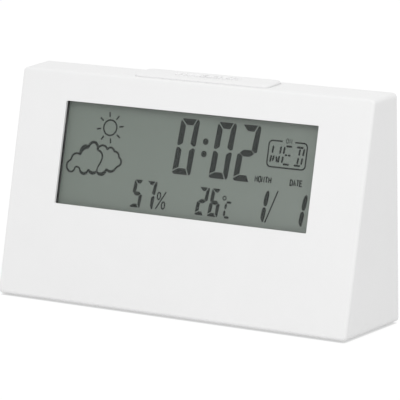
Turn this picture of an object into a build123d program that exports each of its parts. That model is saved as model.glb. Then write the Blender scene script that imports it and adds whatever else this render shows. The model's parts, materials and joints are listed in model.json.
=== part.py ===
from build123d import *
import math
import os

# Desk clock with thermometer and hygrometer: a wedge-shaped case around a liquid crystal
# display. Millimetres, +Z up, X to the right as seen from the front, which faces -Y.
# The origin is on the table, under the middle of the case.

# Case
case_width = 135.0
front_edge_height = 75.0
top_rise = 0.5
foot_lift = 0.5
front_run = 17.2
top_depth = 14.4
back_run = 3.0
side_draft_angle = 1.5
wall = 2.0
side_edge_radius = 1.5
front_edge_radius = 1.0
rim_radius = 1.0

# Clearances
overrun = 1.0
seam_gap = 0.15
loose_gap = 0.3
pilot_gap = 0.05
through_gap = 0.2
running_gap = 0.08

# Display window and the stack behind it
window_side_margin = 19.35
window_top_margin = 9.8
window_height = 34.3
window_corner_radius = 0.4
lens_thickness = 1.2
lens_margin = 1.9
gasket_thickness = 0.5
gasket_rim = 1.5
polarizer_thickness = 0.2
polarizer_margin = 1.0
glass_thickness = 0.7
glass_side_margin = 2.2
glass_edge_margin = 1.5
contact_ledge = 3.0
guide_thickness = 2.0
guide_margin = 1.0
led_length = 8.0
led_width = 1.8
led_height = 1.7
holder_wall = 1.2
zebra_width = 2.0
zebra_end_margin = 2.15

# Boards
board_low_margin = 7.5
board_high_margin = 3.0
board_thickness = 1.6
board_screw_gap = 0.6
board_side_margin = 2.5
board_screw_inset = 4.0
small_board_thickness = 1.2

# Parts on the back of the main board, in a row above the battery tray
parts_rise = 10.0
chip_radius = 6.0
chip_height = 1.4
chip_edge_radius = 0.7
chip_x = -18.0
crystal_radius = 1.0
crystal_length = 6.0
crystal_x = -2.0
capacitor_radius = 2.5
capacitor_height = 5.4
capacitor_edge_radius = 0.5
capacitor_side_margin = 5.0
resistor_length = 2.0
resistor_width = 1.2
resistor_height = 0.6
resistor_column_pitch = 3.4
resistor_row_pitch = 2.4
resistor_x = -33.0
resistor_columns = 4
resistor_rows = 2

# Screws
screw_radius = 0.95
screw_length = 5.0
screw_head_radius = 1.8
screw_head_height = 1.2
cover_screw_radius = 1.1
cover_screw_length = 8.0
cover_screw_head_radius = 2.0
cover_screw_head_height = 1.0
cross_length_share = 1.1
cross_width_share = 0.28
cross_depth_share = 0.6
boss_radius = 2.2
post_radius = 2.6
pilot_spare = 1.0

# Snooze and light bar in the top
bar_length = 51.0
bar_x = 1.2
bar_front_margin = 1.9
bar_back_margin = 2.5
bar_proud = 0.7
bar_rise = 0.4
bar_corner_radius = 2.0
bar_edge_radius = 0.6
bar_wall = 1.4
bar_travel = 0.4
ear_length = 1.5
ear_thickness = 1.0
ear_gap = 0.35
pusher_drop = 0.6
pusher_width = 4.0
guide_post_radius = 1.0
guide_post_inset = 5.0
guide_post_spare = 0.6
snooze_board_reach = 7.0
snooze_board_inset = 0.7
snooze_screw_inset = 2.5
snooze_screw_set_back = 1.6

# Push switches
switch_width = 6.0
switch_height = 1.1
switch_corner_radius = 0.4
plunger_radius = 1.0
plunger_proud = 0.5
plunger_sunk = 0.3
plunger_hole_spare = 0.2

# Rear cover
cover_thickness = 2.0
cover_set_back = 0.3
cover_screw_side_margin = 6.5
cover_screw_low = 7.5
cover_screw_drop = 7.25

# Battery compartment and door
cell_radius = 5.25
cell_length = 44.5
cell_nub_radius = 1.9
cell_nub_length = 0.8
cell_edge_radius = 0.6
cell_gap = 0.5
pocket_low = 7.0
pocket_spare_top = 1.1
tray_wall = 1.2
contact_thickness = 0.4
contact_width = 8.0
contact_dimple_radius = 2.2
contact_dimple_height = 0.5
spring_base_radius = 3.6
spring_end_radius = 2.2
spring_length = 4.2
tail_width = 2.4
tail_out = 1.2
tail_inset = 0.85
door_thickness = 1.5
door_lap = 1.5
door_top_gap = 0.3
tongue_width = 6.0
tongue_spacing = 30.0
tongue_leg = 1.3
tongue_reach = 2.0
tongue_thickness = 1.1
latch_width = 8.0
latch_depth = 2.2
latch_thickness = 1.0
latch_nib = 0.2
scoop_radius = 6.0
scoop_depth = 1.0

# Rear keys
key_names = ("mode_key", "alarm_key", "up_key", "down_key", "units_key")
key_length = 9.0
key_width = 5.0
key_pitch = 16.0
key_drop = 22.0
key_proud = 0.8
key_corner_radius = 1.6
key_edge_radius = 0.5
key_travel = 0.3
key_flange = 1.0
key_flange_thickness = 0.8
key_stem_radius = 1.4
key_stem_length = 0.6
key_board_reach = 8.5
key_board_width = 10.0
key_screw_inset = 3.0

# Sensors behind the left vents and sounder behind the right ones, as seen from the front
side_module_up = 23.0
slot_length = 13.0
slot_width = 1.2
slot_pitch = 2.6
slot_count = 6
sensor_board_length = 18.0
sensor_board_width = 16.0
sensor_stand_off = 4.5
sensor_screw_spacing = 12.5
humidity_length = 10.0
humidity_width = 6.0
humidity_height = 3.0
humidity_wall = 0.6
humidity_slot_count = 4
humidity_up = 2.6
bead_radius = 1.2
bead_up = -4.0
bead_leg_radius = 0.25
bead_leg_length = 2.0
buzzer_radius = 10.0
buzzer_thickness = 0.3
ceramic_radius = 7.0
ceramic_thickness = 0.3
buzzer_ring_wall = 1.2
buzzer_ledge = 0.8
buzzer_seat_height = 1.5
buzzer_ring_height = 2.6

# Feet
foot_radius = 4.0
foot_recess = 0.4
foot_edge_radius = 0.3
foot_side_margin = 10.5
foot_end_margin = 8.3

# Leads
lead_radius = 0.6
thin_lead_radius = 0.45
lead_straight = 3.5
lead_bend = 1.4
thin_lead_straight = 2.6
thin_lead_bend = 1.1
thin_lead_spacing = 2.5
red_lead_out = 3.3
red_lead_up = 11.5
black_lead_out = 5.8
black_lead_up = 5.5
side_lead_up = 14.0
snooze_lead_x = 13.0
snooze_lead_drop = 6.35
ribbon_width = 6.0
ribbon_thickness = 0.4
ribbon_straight = 1.6
ribbon_bend = 0.8
ribbon_x = 24.0
ribbon_drop = 5.0

# Places worked out from the sizes above. The rounded case is centred, not its sharp corners.
case_depth = front_run + top_depth + back_run
back_edge_height = front_edge_height + top_rise
front_face_height = math.hypot(front_edge_height - foot_lift, front_run)
back_face_height = math.hypot(back_edge_height - foot_lift, back_run)
front_corner = math.atan2(front_edge_height - foot_lift, front_run)
back_corner = math.atan2(back_edge_height - foot_lift, back_run)
front_rounding = front_edge_radius * (1 / math.tan(front_corner / 2) - 1)
back_rounding = rim_radius * (1 / math.tan(back_corner / 2) - 1)
front_foot_y = -(case_depth + front_rounding - back_rounding) / 2
back_foot_y = front_foot_y + case_depth
front_top_y = front_foot_y + front_run
back_top_y = back_foot_y - back_run
draft = math.radians(side_draft_angle)
front_face = Plane(
    origin=(0, front_foot_y, foot_lift),
    x_dir=(1, 0, 0),
    z_dir=(0, foot_lift - front_edge_height, front_run),
)
back_face = Plane(
    origin=(0, back_foot_y, foot_lift),
    x_dir=(-1, 0, 0),
    z_dir=(0, back_edge_height - foot_lift, back_run),
)
top_face = Plane(
    origin=(0, front_top_y, front_edge_height),
    x_dir=(1, 0, 0),
    z_dir=(0, front_edge_height - back_edge_height, back_top_y - front_top_y),
)
base_face = Plane(origin=(0, 0, foot_lift), x_dir=(1, 0, 0), z_dir=(0, 0, -1))
right_face = Plane(
    origin=(case_width / 2, back_foot_y, 0),
    x_dir=(0, 0, 1),
    z_dir=(math.cos(draft), -math.sin(draft), 0),
)
left_face = Plane(
    origin=(-case_width / 2, back_foot_y, 0),
    x_dir=(0, 0, 1),
    z_dir=(-math.cos(draft), -math.sin(draft), 0),
)

# Depths behind the front face
lip = wall - lens_thickness
gasket_depth = wall
polarizer_depth = gasket_depth + gasket_thickness
front_glass_depth = polarizer_depth + polarizer_thickness
rear_glass_depth = front_glass_depth + glass_thickness
rear_polarizer_depth = rear_glass_depth + glass_thickness
guide_depth = rear_polarizer_depth + polarizer_thickness
board_depth = guide_depth + guide_thickness
board_back_depth = board_depth + board_thickness

# Widths and heights on the front face
window_width = case_width - 2 * window_side_margin
window_high = front_face_height - window_top_margin
window_low = window_high - window_height
window_middle = (window_low + window_high) / 2
glass_high = window_high + glass_edge_margin
rear_glass_low = window_low - glass_edge_margin
front_glass_low = rear_glass_low - contact_ledge
holder_inside_high = glass_high + seam_gap
holder_inside_low = front_glass_low - seam_gap
holder_inside_width = window_width + 2 * (glass_side_margin + seam_gap)
board_low = window_low - board_low_margin
board_high = window_high + board_high_margin
board_screw_spacing = holder_inside_width + 2 * (holder_wall + board_screw_gap + boss_radius)
board_width = board_screw_spacing + 2 * board_side_margin
board_screw_low = board_low + board_screw_inset
board_screw_high = board_high - board_screw_inset

# Sizes and levels under the top
top_slope = top_rise / top_depth
bar_width = top_depth - bar_front_margin - bar_back_margin
bar_front_y = front_top_y + bar_front_margin
bar_y = bar_front_y + bar_width / 2
bar_front_z = front_edge_height + bar_front_margin * top_slope
bar_top_face = Plane(
    origin=(0, bar_front_y, bar_front_z + bar_proud),
    x_dir=(1, 0, 0),
    z_dir=(0, -(bar_width * top_slope + bar_rise), bar_width),
)
guide_post_spacing = bar_length - 2 * guide_post_inset
snooze_board_length = bar_length + 2 * snooze_board_reach
snooze_board_width = bar_width - 2 * snooze_board_inset
snooze_screw_spacing = snooze_board_length - 2 * snooze_screw_inset
ceiling_z = bar_front_z - wall * math.hypot(1, top_slope)
ear_top_z = ceiling_z - ear_gap
ear_bottom_z = ear_top_z - ear_thickness
pusher_end_z = ear_bottom_z - pusher_drop
snooze_switch_top_z = pusher_end_z - plunger_proud
snooze_board_top_z = snooze_switch_top_z - switch_height
snooze_board_z = snooze_board_top_z - small_board_thickness
snooze_screw_y = bar_y + snooze_screw_set_back

# Depths behind the rear face, and widths and heights on it
cover_inside = cover_set_back + cover_thickness
door_inside = cover_set_back + door_thickness
cell_axis_depth = door_inside + loose_gap + cell_radius
pocket_depth = cell_axis_depth + cell_radius + loose_gap
tray_depth = pocket_depth + tray_wall
tail_depth = cell_axis_depth + contact_width / 2 - tail_inset
pocket_length = cell_length + spring_length + contact_dimple_height + 2 * contact_thickness
lower_cell_up = pocket_low + loose_gap + cell_radius
upper_cell_up = lower_cell_up + 2 * cell_radius + cell_gap
pocket_high = upper_cell_up + cell_radius + pocket_spare_top
pocket_middle = (pocket_low + pocket_high) / 2
pocket_height = pocket_high - pocket_low
parts_up = pocket_high + tray_wall + parts_rise
door_low = pocket_low - door_lap
door_high = pocket_high + door_lap - door_top_gap
door_middle = (door_low + door_high) / 2
door_height = door_high - door_low
door_length = pocket_length + 2 * door_lap
key_up = back_face_height - key_drop
key_board_length = (len(key_names) - 1) * key_pitch + key_length + 2 * key_board_reach
key_screw_spacing = key_board_length - 2 * key_screw_inset
key_flange_depth = cover_inside + loose_gap
key_stem_depth = key_flange_depth + key_flange_thickness
key_plunger_depth = key_stem_depth + key_stem_length
key_switch_depth = key_plunger_depth + plunger_proud
key_board_depth = key_switch_depth + switch_height
sensor_board_depth = cover_inside + sensor_stand_off
sensor_board_back = sensor_board_depth + small_board_thickness
buzzer_depth = cover_inside + buzzer_seat_height
side_module_x = (case_width / 2 + pocket_length / 2 + tray_wall) / 2
cover_screw_spacing = case_width - 2 * cover_screw_side_margin
cover_screw_high = back_face_height - cover_screw_drop
foot_x = case_width / 2 - foot_side_margin
foot_y = case_depth / 2 - foot_end_margin
key_places = [
    ((index - (len(key_names) - 1) / 2) * key_pitch, key_up)
    for index in range(len(key_names))
]
cover_screw_places = [
    (side * cover_screw_spacing / 2, height)
    for side in (-1, 1)
    for height in (cover_screw_low, cover_screw_high)
]
snooze_screw_places = [(bar_x + side * snooze_screw_spacing / 2, snooze_screw_y) for side in (-1, 1)]
board_screw_places = [
    (side * board_screw_spacing / 2, height)
    for side in (-1, 1)
    for height in (board_screw_low, board_screw_high)
]
sensor_screw_places = [
    (side_module_x - sensor_screw_spacing / 2, side_module_up - sensor_screw_spacing / 2),
    (side_module_x + sensor_screw_spacing / 2, side_module_up - sensor_screw_spacing / 2),
]


def at_front(depth):
    """Plane parallel to the front face, this deep behind it."""
    return front_face.offset(-depth)


def at_back(depth):
    """Plane parallel to the rear face, this deep inside it."""
    return back_face.offset(-depth)


def front_point(x, up, depth):
    """Point of the case from its place on the front face and its depth behind it."""
    return front_face.from_local_coords(Vector(x, up, -depth))


def back_point(x, up, depth):
    """Point of the case from its place on the rear face and its depth inside it."""
    return back_face.from_local_coords(Vector(-x, up, -depth))


def wedge(side_inset, front_inset, back_inset):
    """The case's wedge with its faces moved inwards; a negative inset moves a face out."""
    with BuildPart() as block:
        Box(2 * case_width, 2 * case_depth, 2 * (back_edge_height + overrun))
        for face in (top_face, base_face, right_face, left_face):
            split(bisect_by=face.offset(-side_inset), keep=Keep.BOTTOM)
        split(bisect_by=at_front(front_inset), keep=Keep.BOTTOM)
        split(bisect_by=at_back(back_inset), keep=Keep.BOTTOM)
    return block.part


inward = Axis(front_face.origin, -front_face.z_dir)
outward = Axis(back_face.origin, back_face.z_dir)


def screws(plane, places, radius, length, head_radius, head_height):
    """Cross-head screws with their heads' undersides on a plane that faces away."""
    with BuildPart() as group:
        with BuildSketch(plane):
            with Locations(*places):
                Circle(head_radius)
        extrude(amount=head_height)
        with BuildSketch(plane):
            with Locations(*places):
                Circle(radius)
        extrude(amount=-length)
        with BuildSketch(plane.offset(head_height)):
            with Locations(*places):
                Rectangle(head_radius * cross_length_share, head_radius * cross_width_share)
                Rectangle(head_radius * cross_width_share, head_radius * cross_length_share)
        extrude(amount=-head_height * cross_depth_share, mode=Mode.SUBTRACT)
    return group.part


def lead(points, radius, bend):
    """Round lead along straight runs that are joined by bends."""
    with BuildPart() as wire:
        with BuildLine() as path:
            FilletPolyline(*points, radius=bend)
        with BuildSketch(Plane(origin=path.line @ 0, z_dir=path.line % 0)):
            Circle(radius)
        sweep()
    return wire.part


def write(part, name):
    """Label a finished piece and write its file."""
    part.label = name
    export_step(part, f"parts/{name}.step")


os.makedirs("parts", exist_ok=True)

# Front housing: front, top, sides and base in one moulding, open at the back
housing_outside = wedge(0, 0, 0)
housing_inside = wedge(wall, wall, -overrun)
post_limit = wedge(wall / 2, wall / 2, cover_inside)
boss_limit = wedge(wall / 2, wall / 2, 0)

with BuildPart() as cover_posts:
    with BuildSketch(at_back(cover_inside)):
        with Locations(*cover_screw_places):
            Circle(post_radius)
    extrude(amount=-case_depth)
    add(post_limit, mode=Mode.INTERSECT)

with BuildPart() as snooze_bosses:
    with BuildSketch(Plane.XY.offset(snooze_board_top_z)):
        with Locations(*snooze_screw_places):
            Circle(boss_radius)
    extrude(amount=back_edge_height - snooze_board_top_z)
    add(boss_limit, mode=Mode.INTERSECT)

with BuildPart() as front_housing:
    add(housing_outside)
    base_loop = front_housing.faces().filter_by(base_face)[0].edges()
    top_loop = front_housing.faces().filter_by(top_face)[0].edges()
    side_edges = [edge for edge in base_loop + top_loop if abs(edge.center().X) > case_width / 4]
    fillet(side_edges, side_edge_radius)
    fillet(front_housing.faces().filter_by(front_face)[0].edges(), front_edge_radius)
    fillet(front_housing.faces().filter_by(back_face)[0].edges(), rim_radius)
    add(housing_inside, mode=Mode.SUBTRACT)
    add(cover_posts.part)
    add(snooze_bosses.part)
    with BuildSketch(at_front(wall)):
        with Locations(*board_screw_places):
            Circle(boss_radius)
    extrude(amount=-(board_depth - wall))
    with BuildSketch(at_front(-overrun)):
        with Locations((0, window_middle)):
            RectangleRounded(window_width, window_height, window_corner_radius)
    extrude(amount=-(wall + 2 * overrun), mode=Mode.SUBTRACT)
    with BuildSketch(at_front(lip)):
        with Locations((0, window_middle)):
            Rectangle(
                window_width + 2 * (lens_margin + seam_gap),
                window_height + 2 * (lens_margin + seam_gap),
            )
    extrude(amount=-lens_thickness, mode=Mode.SUBTRACT)
    with BuildSketch(Plane.XY.offset(ear_top_z)):
        with Locations((bar_x, bar_y)):
            RectangleRounded(
                bar_length + 2 * seam_gap,
                bar_width + 2 * seam_gap,
                bar_corner_radius + seam_gap,
            )
    extrude(amount=back_edge_height - ear_top_z + overrun, mode=Mode.SUBTRACT)
    with BuildSketch(at_front(board_depth)):
        with Locations(*board_screw_places):
            Circle(screw_radius + pilot_gap)
    extrude(amount=board_depth - wall, mode=Mode.SUBTRACT)
    with BuildSketch(Plane.XY.offset(snooze_board_top_z)):
        with Locations(*snooze_screw_places):
            Circle(screw_radius + pilot_gap)
    extrude(amount=screw_length - small_board_thickness, mode=Mode.SUBTRACT)
    with BuildSketch(at_back(cover_inside)):
        with Locations(*cover_screw_places):
            Circle(cover_screw_radius + pilot_gap)
    extrude(amount=-(cover_screw_length + pilot_spare), mode=Mode.SUBTRACT)
    with BuildSketch(Plane.XY):
        with GridLocations(2 * foot_x, 2 * foot_y, 2, 2):
            Circle(foot_radius + seam_gap)
    extrude(amount=foot_lift + foot_recess, mode=Mode.SUBTRACT)
write(front_housing.part, "front_housing")

# Rear cover with the battery tray, key holes, vents and sounder ring
cover_plate = wedge(wall + seam_gap, wall, cover_set_back)

with BuildPart() as rear_cover:
    add(cover_plate)
    split(bisect_by=at_back(cover_inside), keep=Keep.TOP)
    with BuildSketch(at_back(cover_inside)):
        with Locations((0, pocket_middle)):
            Rectangle(pocket_length + 2 * tray_wall, pocket_height + 2 * tray_wall)
    extrude(amount=-(tray_depth - cover_inside))
    with BuildSketch(at_back(cover_inside)):
        with Locations((-key_screw_spacing / 2, key_up), (key_screw_spacing / 2, key_up)):
            Circle(boss_radius)
    extrude(amount=-(key_board_depth - cover_inside))
    with BuildSketch(at_back(cover_inside)):
        with Locations(*sensor_screw_places):
            Circle(boss_radius)
    extrude(amount=-sensor_stand_off)
    with BuildSketch(at_back(cover_inside)):
        with Locations((-side_module_x, side_module_up)):
            Circle(buzzer_radius + seam_gap + buzzer_ring_wall)
            Circle(buzzer_radius - buzzer_ledge, mode=Mode.SUBTRACT)
    extrude(amount=-buzzer_ring_height)
    with BuildSketch(at_back(buzzer_depth)):
        with Locations((-side_module_x, side_module_up)):
            Circle(buzzer_radius + seam_gap)
    extrude(amount=-buzzer_ring_height, mode=Mode.SUBTRACT)
    with BuildSketch(at_back(cover_set_back)):
        with Locations((0, door_middle - seam_gap / 2 + door_top_gap / 2)):
            Rectangle(door_length + 2 * seam_gap, door_height + seam_gap + door_top_gap)
    extrude(amount=-door_thickness, mode=Mode.SUBTRACT)
    with BuildSketch(at_back(cover_set_back)):
        with Locations((0, pocket_middle)):
            Rectangle(pocket_length, pocket_height)
    extrude(amount=-(pocket_depth - cover_set_back), mode=Mode.SUBTRACT)
    with BuildSketch(at_back(door_inside)):
        with Locations(
            (-tongue_spacing / 2, door_low + (door_lap - seam_gap) / 2),
            (tongue_spacing / 2, door_low + (door_lap - seam_gap) / 2),
        ):
            Rectangle(tongue_width + 2 * loose_gap, door_lap + seam_gap)
    extrude(
        amount=-(cover_thickness - door_thickness + 2 * loose_gap + tongue_thickness + tongue_reach),
        mode=Mode.SUBTRACT,
    )
    with BuildSketch(at_back(cover_set_back)):
        with Locations((0, door_high)):
            Circle(scoop_radius)
    extrude(amount=-scoop_depth, mode=Mode.SUBTRACT)
    with BuildSketch(at_back(cover_set_back)):
        with Locations(*key_places):
            RectangleRounded(
                key_length + 2 * loose_gap, key_width + 2 * loose_gap, key_corner_radius + loose_gap
            )
    extrude(amount=-cover_thickness, mode=Mode.SUBTRACT)
    with BuildSketch(at_back(cover_set_back)):
        with Locations((-side_module_x, side_module_up), (side_module_x, side_module_up)):
            with GridLocations(slot_pitch, 0, slot_count, 1):
                SlotOverall(slot_length, slot_width, rotation=90)
    extrude(amount=-cover_thickness, mode=Mode.SUBTRACT)
    with BuildSketch(at_back(cover_set_back)):
        with Locations(*cover_screw_places):
            Circle(cover_screw_head_radius + through_gap)
    extrude(amount=-cover_screw_head_height, mode=Mode.SUBTRACT)
    with BuildSketch(at_back(cover_set_back)):
        with Locations(*cover_screw_places):
            Circle(cover_screw_radius + through_gap)
    extrude(amount=-cover_thickness, mode=Mode.SUBTRACT)
    with BuildSketch(at_back(key_board_depth)):
        with Locations((-key_screw_spacing / 2, key_up), (key_screw_spacing / 2, key_up)):
            Circle(screw_radius + pilot_gap)
    extrude(amount=screw_length - small_board_thickness, mode=Mode.SUBTRACT)
    with BuildSketch(at_back(sensor_board_depth)):
        with Locations(*sensor_screw_places):
            Circle(screw_radius + pilot_gap)
    extrude(amount=screw_length - small_board_thickness, mode=Mode.SUBTRACT)
    with BuildSketch(at_back(tail_depth)):
        with Locations(
            (-(pocket_length + tray_wall) / 2, lower_cell_up),
            (-(pocket_length + tray_wall) / 2, upper_cell_up),
        ):
            Rectangle(tray_wall + overrun, tail_width + 2 * seam_gap)
    extrude(amount=-(contact_thickness + seam_gap), mode=Mode.SUBTRACT)
write(rear_cover.part, "rear_cover")

# Battery door, hinged on two tongues behind the cover's lip
with BuildPart() as battery_door:
    with BuildSketch(at_back(cover_set_back)):
        with Locations((0, door_middle)):
            Rectangle(door_length, door_height)
    extrude(amount=-door_thickness)
    with BuildSketch(at_back(door_inside)):
        with Locations(
            (-tongue_spacing / 2, door_low + tongue_leg / 2),
            (tongue_spacing / 2, door_low + tongue_leg / 2),
        ):
            Rectangle(tongue_width, tongue_leg)
    extrude(amount=-(cover_thickness - door_thickness + loose_gap + tongue_thickness))
    with BuildSketch(at_back(cover_inside + loose_gap)):
        with Locations(
            (-tongue_spacing / 2, door_low + (tongue_leg - tongue_reach) / 2),
            (tongue_spacing / 2, door_low + (tongue_leg - tongue_reach) / 2),
        ):
            Rectangle(tongue_width, tongue_leg + tongue_reach)
    extrude(amount=-tongue_thickness)
    latch_up = pocket_high - loose_gap - latch_nib - latch_thickness / 2
    with BuildSketch(at_back(door_inside)):
        with Locations((0, latch_up)):
            Rectangle(latch_width, latch_thickness)
    extrude(amount=-latch_depth)
    with BuildSketch(at_back(door_inside + latch_depth - latch_thickness)):
        with Locations((0, latch_up + latch_nib / 2)):
            Rectangle(latch_width, latch_thickness + latch_nib)
    extrude(amount=-latch_thickness)
write(battery_door.part, "battery_door")

# Display: clear lens behind the lip, foam, and the liquid crystal cell
with BuildPart() as display_lens:
    with BuildSketch(at_front(lip)):
        with Locations((0, window_middle)):
            Rectangle(window_width + 2 * lens_margin, window_height + 2 * lens_margin)
    extrude(amount=-lens_thickness)
write(display_lens.part, "display_lens")

with BuildPart() as lens_gasket:
    with BuildSketch(at_front(gasket_depth)):
        with Locations((0, window_middle)):
            Rectangle(window_width + 2 * gasket_rim, window_height + 2 * gasket_rim)
            Rectangle(window_width, window_height, mode=Mode.SUBTRACT)
    extrude(amount=-gasket_thickness)
write(lens_gasket.part, "lens_gasket")

with BuildPart() as lcd_front_polarizer:
    with BuildSketch(at_front(polarizer_depth)):
        with Locations((0, window_middle)):
            Rectangle(window_width + 2 * polarizer_margin, window_height + 2 * polarizer_margin)
    extrude(amount=-polarizer_thickness)
write(lcd_front_polarizer.part, "lcd_front_polarizer")

with BuildPart() as lcd_front_glass:
    with BuildSketch(at_front(front_glass_depth)):
        with Locations((0, (glass_high + front_glass_low) / 2)):
            Rectangle(window_width + 2 * glass_side_margin, glass_high - front_glass_low)
    extrude(amount=-glass_thickness)
write(lcd_front_glass.part, "lcd_front_glass")

with BuildPart() as lcd_rear_glass:
    with BuildSketch(at_front(rear_glass_depth)):
        with Locations((0, (glass_high + rear_glass_low) / 2)):
            Rectangle(window_width + 2 * glass_side_margin, glass_high - rear_glass_low)
    extrude(amount=-glass_thickness)
write(lcd_rear_glass.part, "lcd_rear_glass")

with BuildPart() as lcd_rear_polarizer:
    with BuildSketch(at_front(rear_polarizer_depth)):
        with Locations((0, window_middle)):
            Rectangle(window_width + 2 * polarizer_margin, window_height + 2 * polarizer_margin)
    extrude(amount=-polarizer_thickness)
write(lcd_rear_polarizer.part, "lcd_rear_polarizer")

# Backlight: edge-lit guide with one lamp at its left end
guide_right = window_width / 2 + guide_margin
guide_left = led_width + 2 * loose_gap - guide_right
led_x = -guide_right + loose_gap + led_width / 2

with BuildPart() as backlight_guide:
    with BuildSketch(at_front(guide_depth)):
        with Locations(((guide_left + guide_right) / 2, window_middle)):
            Rectangle(guide_right - guide_left, window_height + 2 * guide_margin)
    extrude(amount=-guide_thickness)
write(backlight_guide.part, "backlight_guide")

with BuildPart() as backlight_led:
    with BuildSketch(at_front(board_depth)):
        with Locations((led_x, window_middle)):
            Rectangle(led_width, led_length)
    extrude(amount=led_height)
write(backlight_led.part, "backlight_led")

with BuildPart() as lcd_holder:
    with BuildSketch(at_front(wall)):
        with Locations((0, (holder_inside_high + holder_inside_low) / 2)):
            Rectangle(
                holder_inside_width + 2 * holder_wall,
                holder_inside_high - holder_inside_low + 2 * holder_wall,
            )
            Rectangle(
                holder_inside_width,
                holder_inside_high - holder_inside_low,
                mode=Mode.SUBTRACT,
            )
    extrude(amount=-(board_depth - wall))
write(lcd_holder.part, "lcd_holder")

with BuildPart() as zebra_strip:
    with BuildSketch(at_front(rear_glass_depth)):
        with Locations((0, (rear_glass_low + front_glass_low) / 2)):
            Rectangle(window_width - 2 * zebra_end_margin, zebra_width)
    extrude(amount=-(board_depth - rear_glass_depth))
write(zebra_strip.part, "zebra_strip")

# Main board and what it carries
with BuildPart() as main_board:
    with BuildSketch(at_front(board_depth)):
        with Locations((0, (board_low + board_high) / 2)):
            Rectangle(board_width, board_high - board_low)
        with Locations(*board_screw_places):
            Circle(screw_radius + through_gap, mode=Mode.SUBTRACT)
    extrude(amount=-board_thickness)
write(main_board.part, "main_board")

with BuildPart() as controller_chip:
    with BuildSketch(at_front(board_back_depth)):
        with Locations((chip_x, parts_up)):
            Circle(chip_radius)
    extrude(amount=-chip_height)
    fillet(controller_chip.faces().sort_by(inward)[-1].edges(), chip_edge_radius)
write(controller_chip.part, "controller_chip")

with BuildPart() as timing_crystal:
    with BuildSketch(
        Plane(
            origin=front_point(crystal_x, parts_up, board_back_depth + crystal_radius),
            z_dir=front_face.x_dir,
        )
    ):
        Circle(crystal_radius)
    extrude(amount=crystal_length)
write(timing_crystal.part, "timing_crystal")

with BuildPart() as board_capacitor:
    with BuildSketch(at_front(board_back_depth)):
        with Locations((board_width / 2 - capacitor_side_margin, (board_low + board_high) / 2)):
            Circle(capacitor_radius)
    extrude(amount=-capacitor_height)
    fillet(board_capacitor.faces().sort_by(inward)[-1].edges(), capacitor_edge_radius)
write(board_capacitor.part, "board_capacitor")

with BuildPart() as board_resistors:
    with BuildSketch(at_front(board_back_depth)):
        with Locations((resistor_x, parts_up)):
            with GridLocations(
                resistor_column_pitch, resistor_row_pitch, resistor_columns, resistor_rows
            ):
                Rectangle(resistor_length, resistor_width)
    extrude(amount=-resistor_height)
write(board_resistors.part, "board_resistors")

board_screws = screws(
    Plane(
        origin=at_front(board_back_depth).origin,
        x_dir=(-1, 0, 0),
        z_dir=-front_face.z_dir,
    ),
    board_screw_places,
    screw_radius,
    screw_length,
    screw_head_radius,
    screw_head_height,
)
write(board_screws, "board_screws")

# Snooze and light bar, its board and its switch
with BuildPart() as snooze_bar:
    with BuildSketch(Plane.XY.offset(ear_bottom_z)):
        with Locations((bar_x, bar_y)):
            RectangleRounded(bar_length, bar_width, bar_corner_radius)
    extrude(amount=back_edge_height - ear_bottom_z + 2 * bar_proud + bar_rise)
    split(bisect_by=bar_top_face, keep=Keep.BOTTOM)
    fillet(snooze_bar.faces().sort_by(Axis.Z)[-1].edges(), bar_edge_radius)
    with BuildSketch(Plane.XY.offset(ear_bottom_z)):
        with Locations((bar_x, bar_y)):
            Rectangle(bar_length + 2 * ear_length, bar_width - 2 * bar_corner_radius)
    extrude(amount=ear_thickness)
    with BuildSketch(Plane.XY.offset(ear_bottom_z)):
        with Locations((bar_x, bar_y)):
            RectangleRounded(bar_length - 2 * bar_wall, bar_width - 2 * bar_wall, bar_corner_radius)
    extrude(amount=back_edge_height + bar_proud - 2 * bar_wall - ear_bottom_z, mode=Mode.SUBTRACT)
    with BuildSketch(Plane.XY.offset(pusher_end_z)):
        with Locations((bar_x, bar_y)):
            Rectangle(pusher_width, pusher_width)
    extrude(amount=back_edge_height - pusher_end_z)
    with BuildSketch(Plane.XY.offset(snooze_board_z - guide_post_spare)):
        with Locations((bar_x, bar_y)):
            with GridLocations(guide_post_spacing, 0, 2, 1):
                Circle(guide_post_radius)
    extrude(amount=back_edge_height - snooze_board_z + guide_post_spare)
write(snooze_bar.part, "snooze_bar")

with BuildPart() as snooze_board:
    with BuildSketch(Plane.XY.offset(snooze_board_z)):
        with Locations((bar_x, bar_y)):
            Rectangle(snooze_board_length, snooze_board_width)
            with GridLocations(guide_post_spacing, 0, 2, 1):
                Circle(guide_post_radius + running_gap, mode=Mode.SUBTRACT)
        with Locations((bar_x, snooze_screw_y)):
            with GridLocations(snooze_screw_spacing, 0, 2, 1):
                Circle(screw_radius + through_gap, mode=Mode.SUBTRACT)
    extrude(amount=small_board_thickness)
write(snooze_board.part, "snooze_board")


def push_switches(plane, places, travel):
    """Switch bodies that stand on a plane, each with a hole that lets its plunger travel."""
    with BuildPart() as bodies:
        with BuildSketch(plane):
            with Locations(*places):
                RectangleRounded(switch_width, switch_width, switch_corner_radius)
        extrude(amount=switch_height)
        with BuildSketch(plane.offset(switch_height)):
            with Locations(*places):
                Circle(plunger_radius + running_gap)
        extrude(amount=-(plunger_sunk + travel + plunger_hole_spare), mode=Mode.SUBTRACT)
    return bodies.part


def plunger(plane, place):
    """Plunger that stands out of a switch body and reaches a little way into it."""
    with BuildPart() as stem:
        with BuildSketch(plane.offset(switch_height - plunger_sunk)):
            with Locations(place):
                Circle(plunger_radius)
        extrude(amount=plunger_sunk + plunger_proud)
    return stem.part


snooze_switch_plane = Plane.XY.offset(snooze_board_top_z)
write(push_switches(snooze_switch_plane, [(bar_x, bar_y)], bar_travel), "snooze_switch")
write(plunger(snooze_switch_plane, (bar_x, bar_y)), "snooze_switch_plunger")

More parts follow.
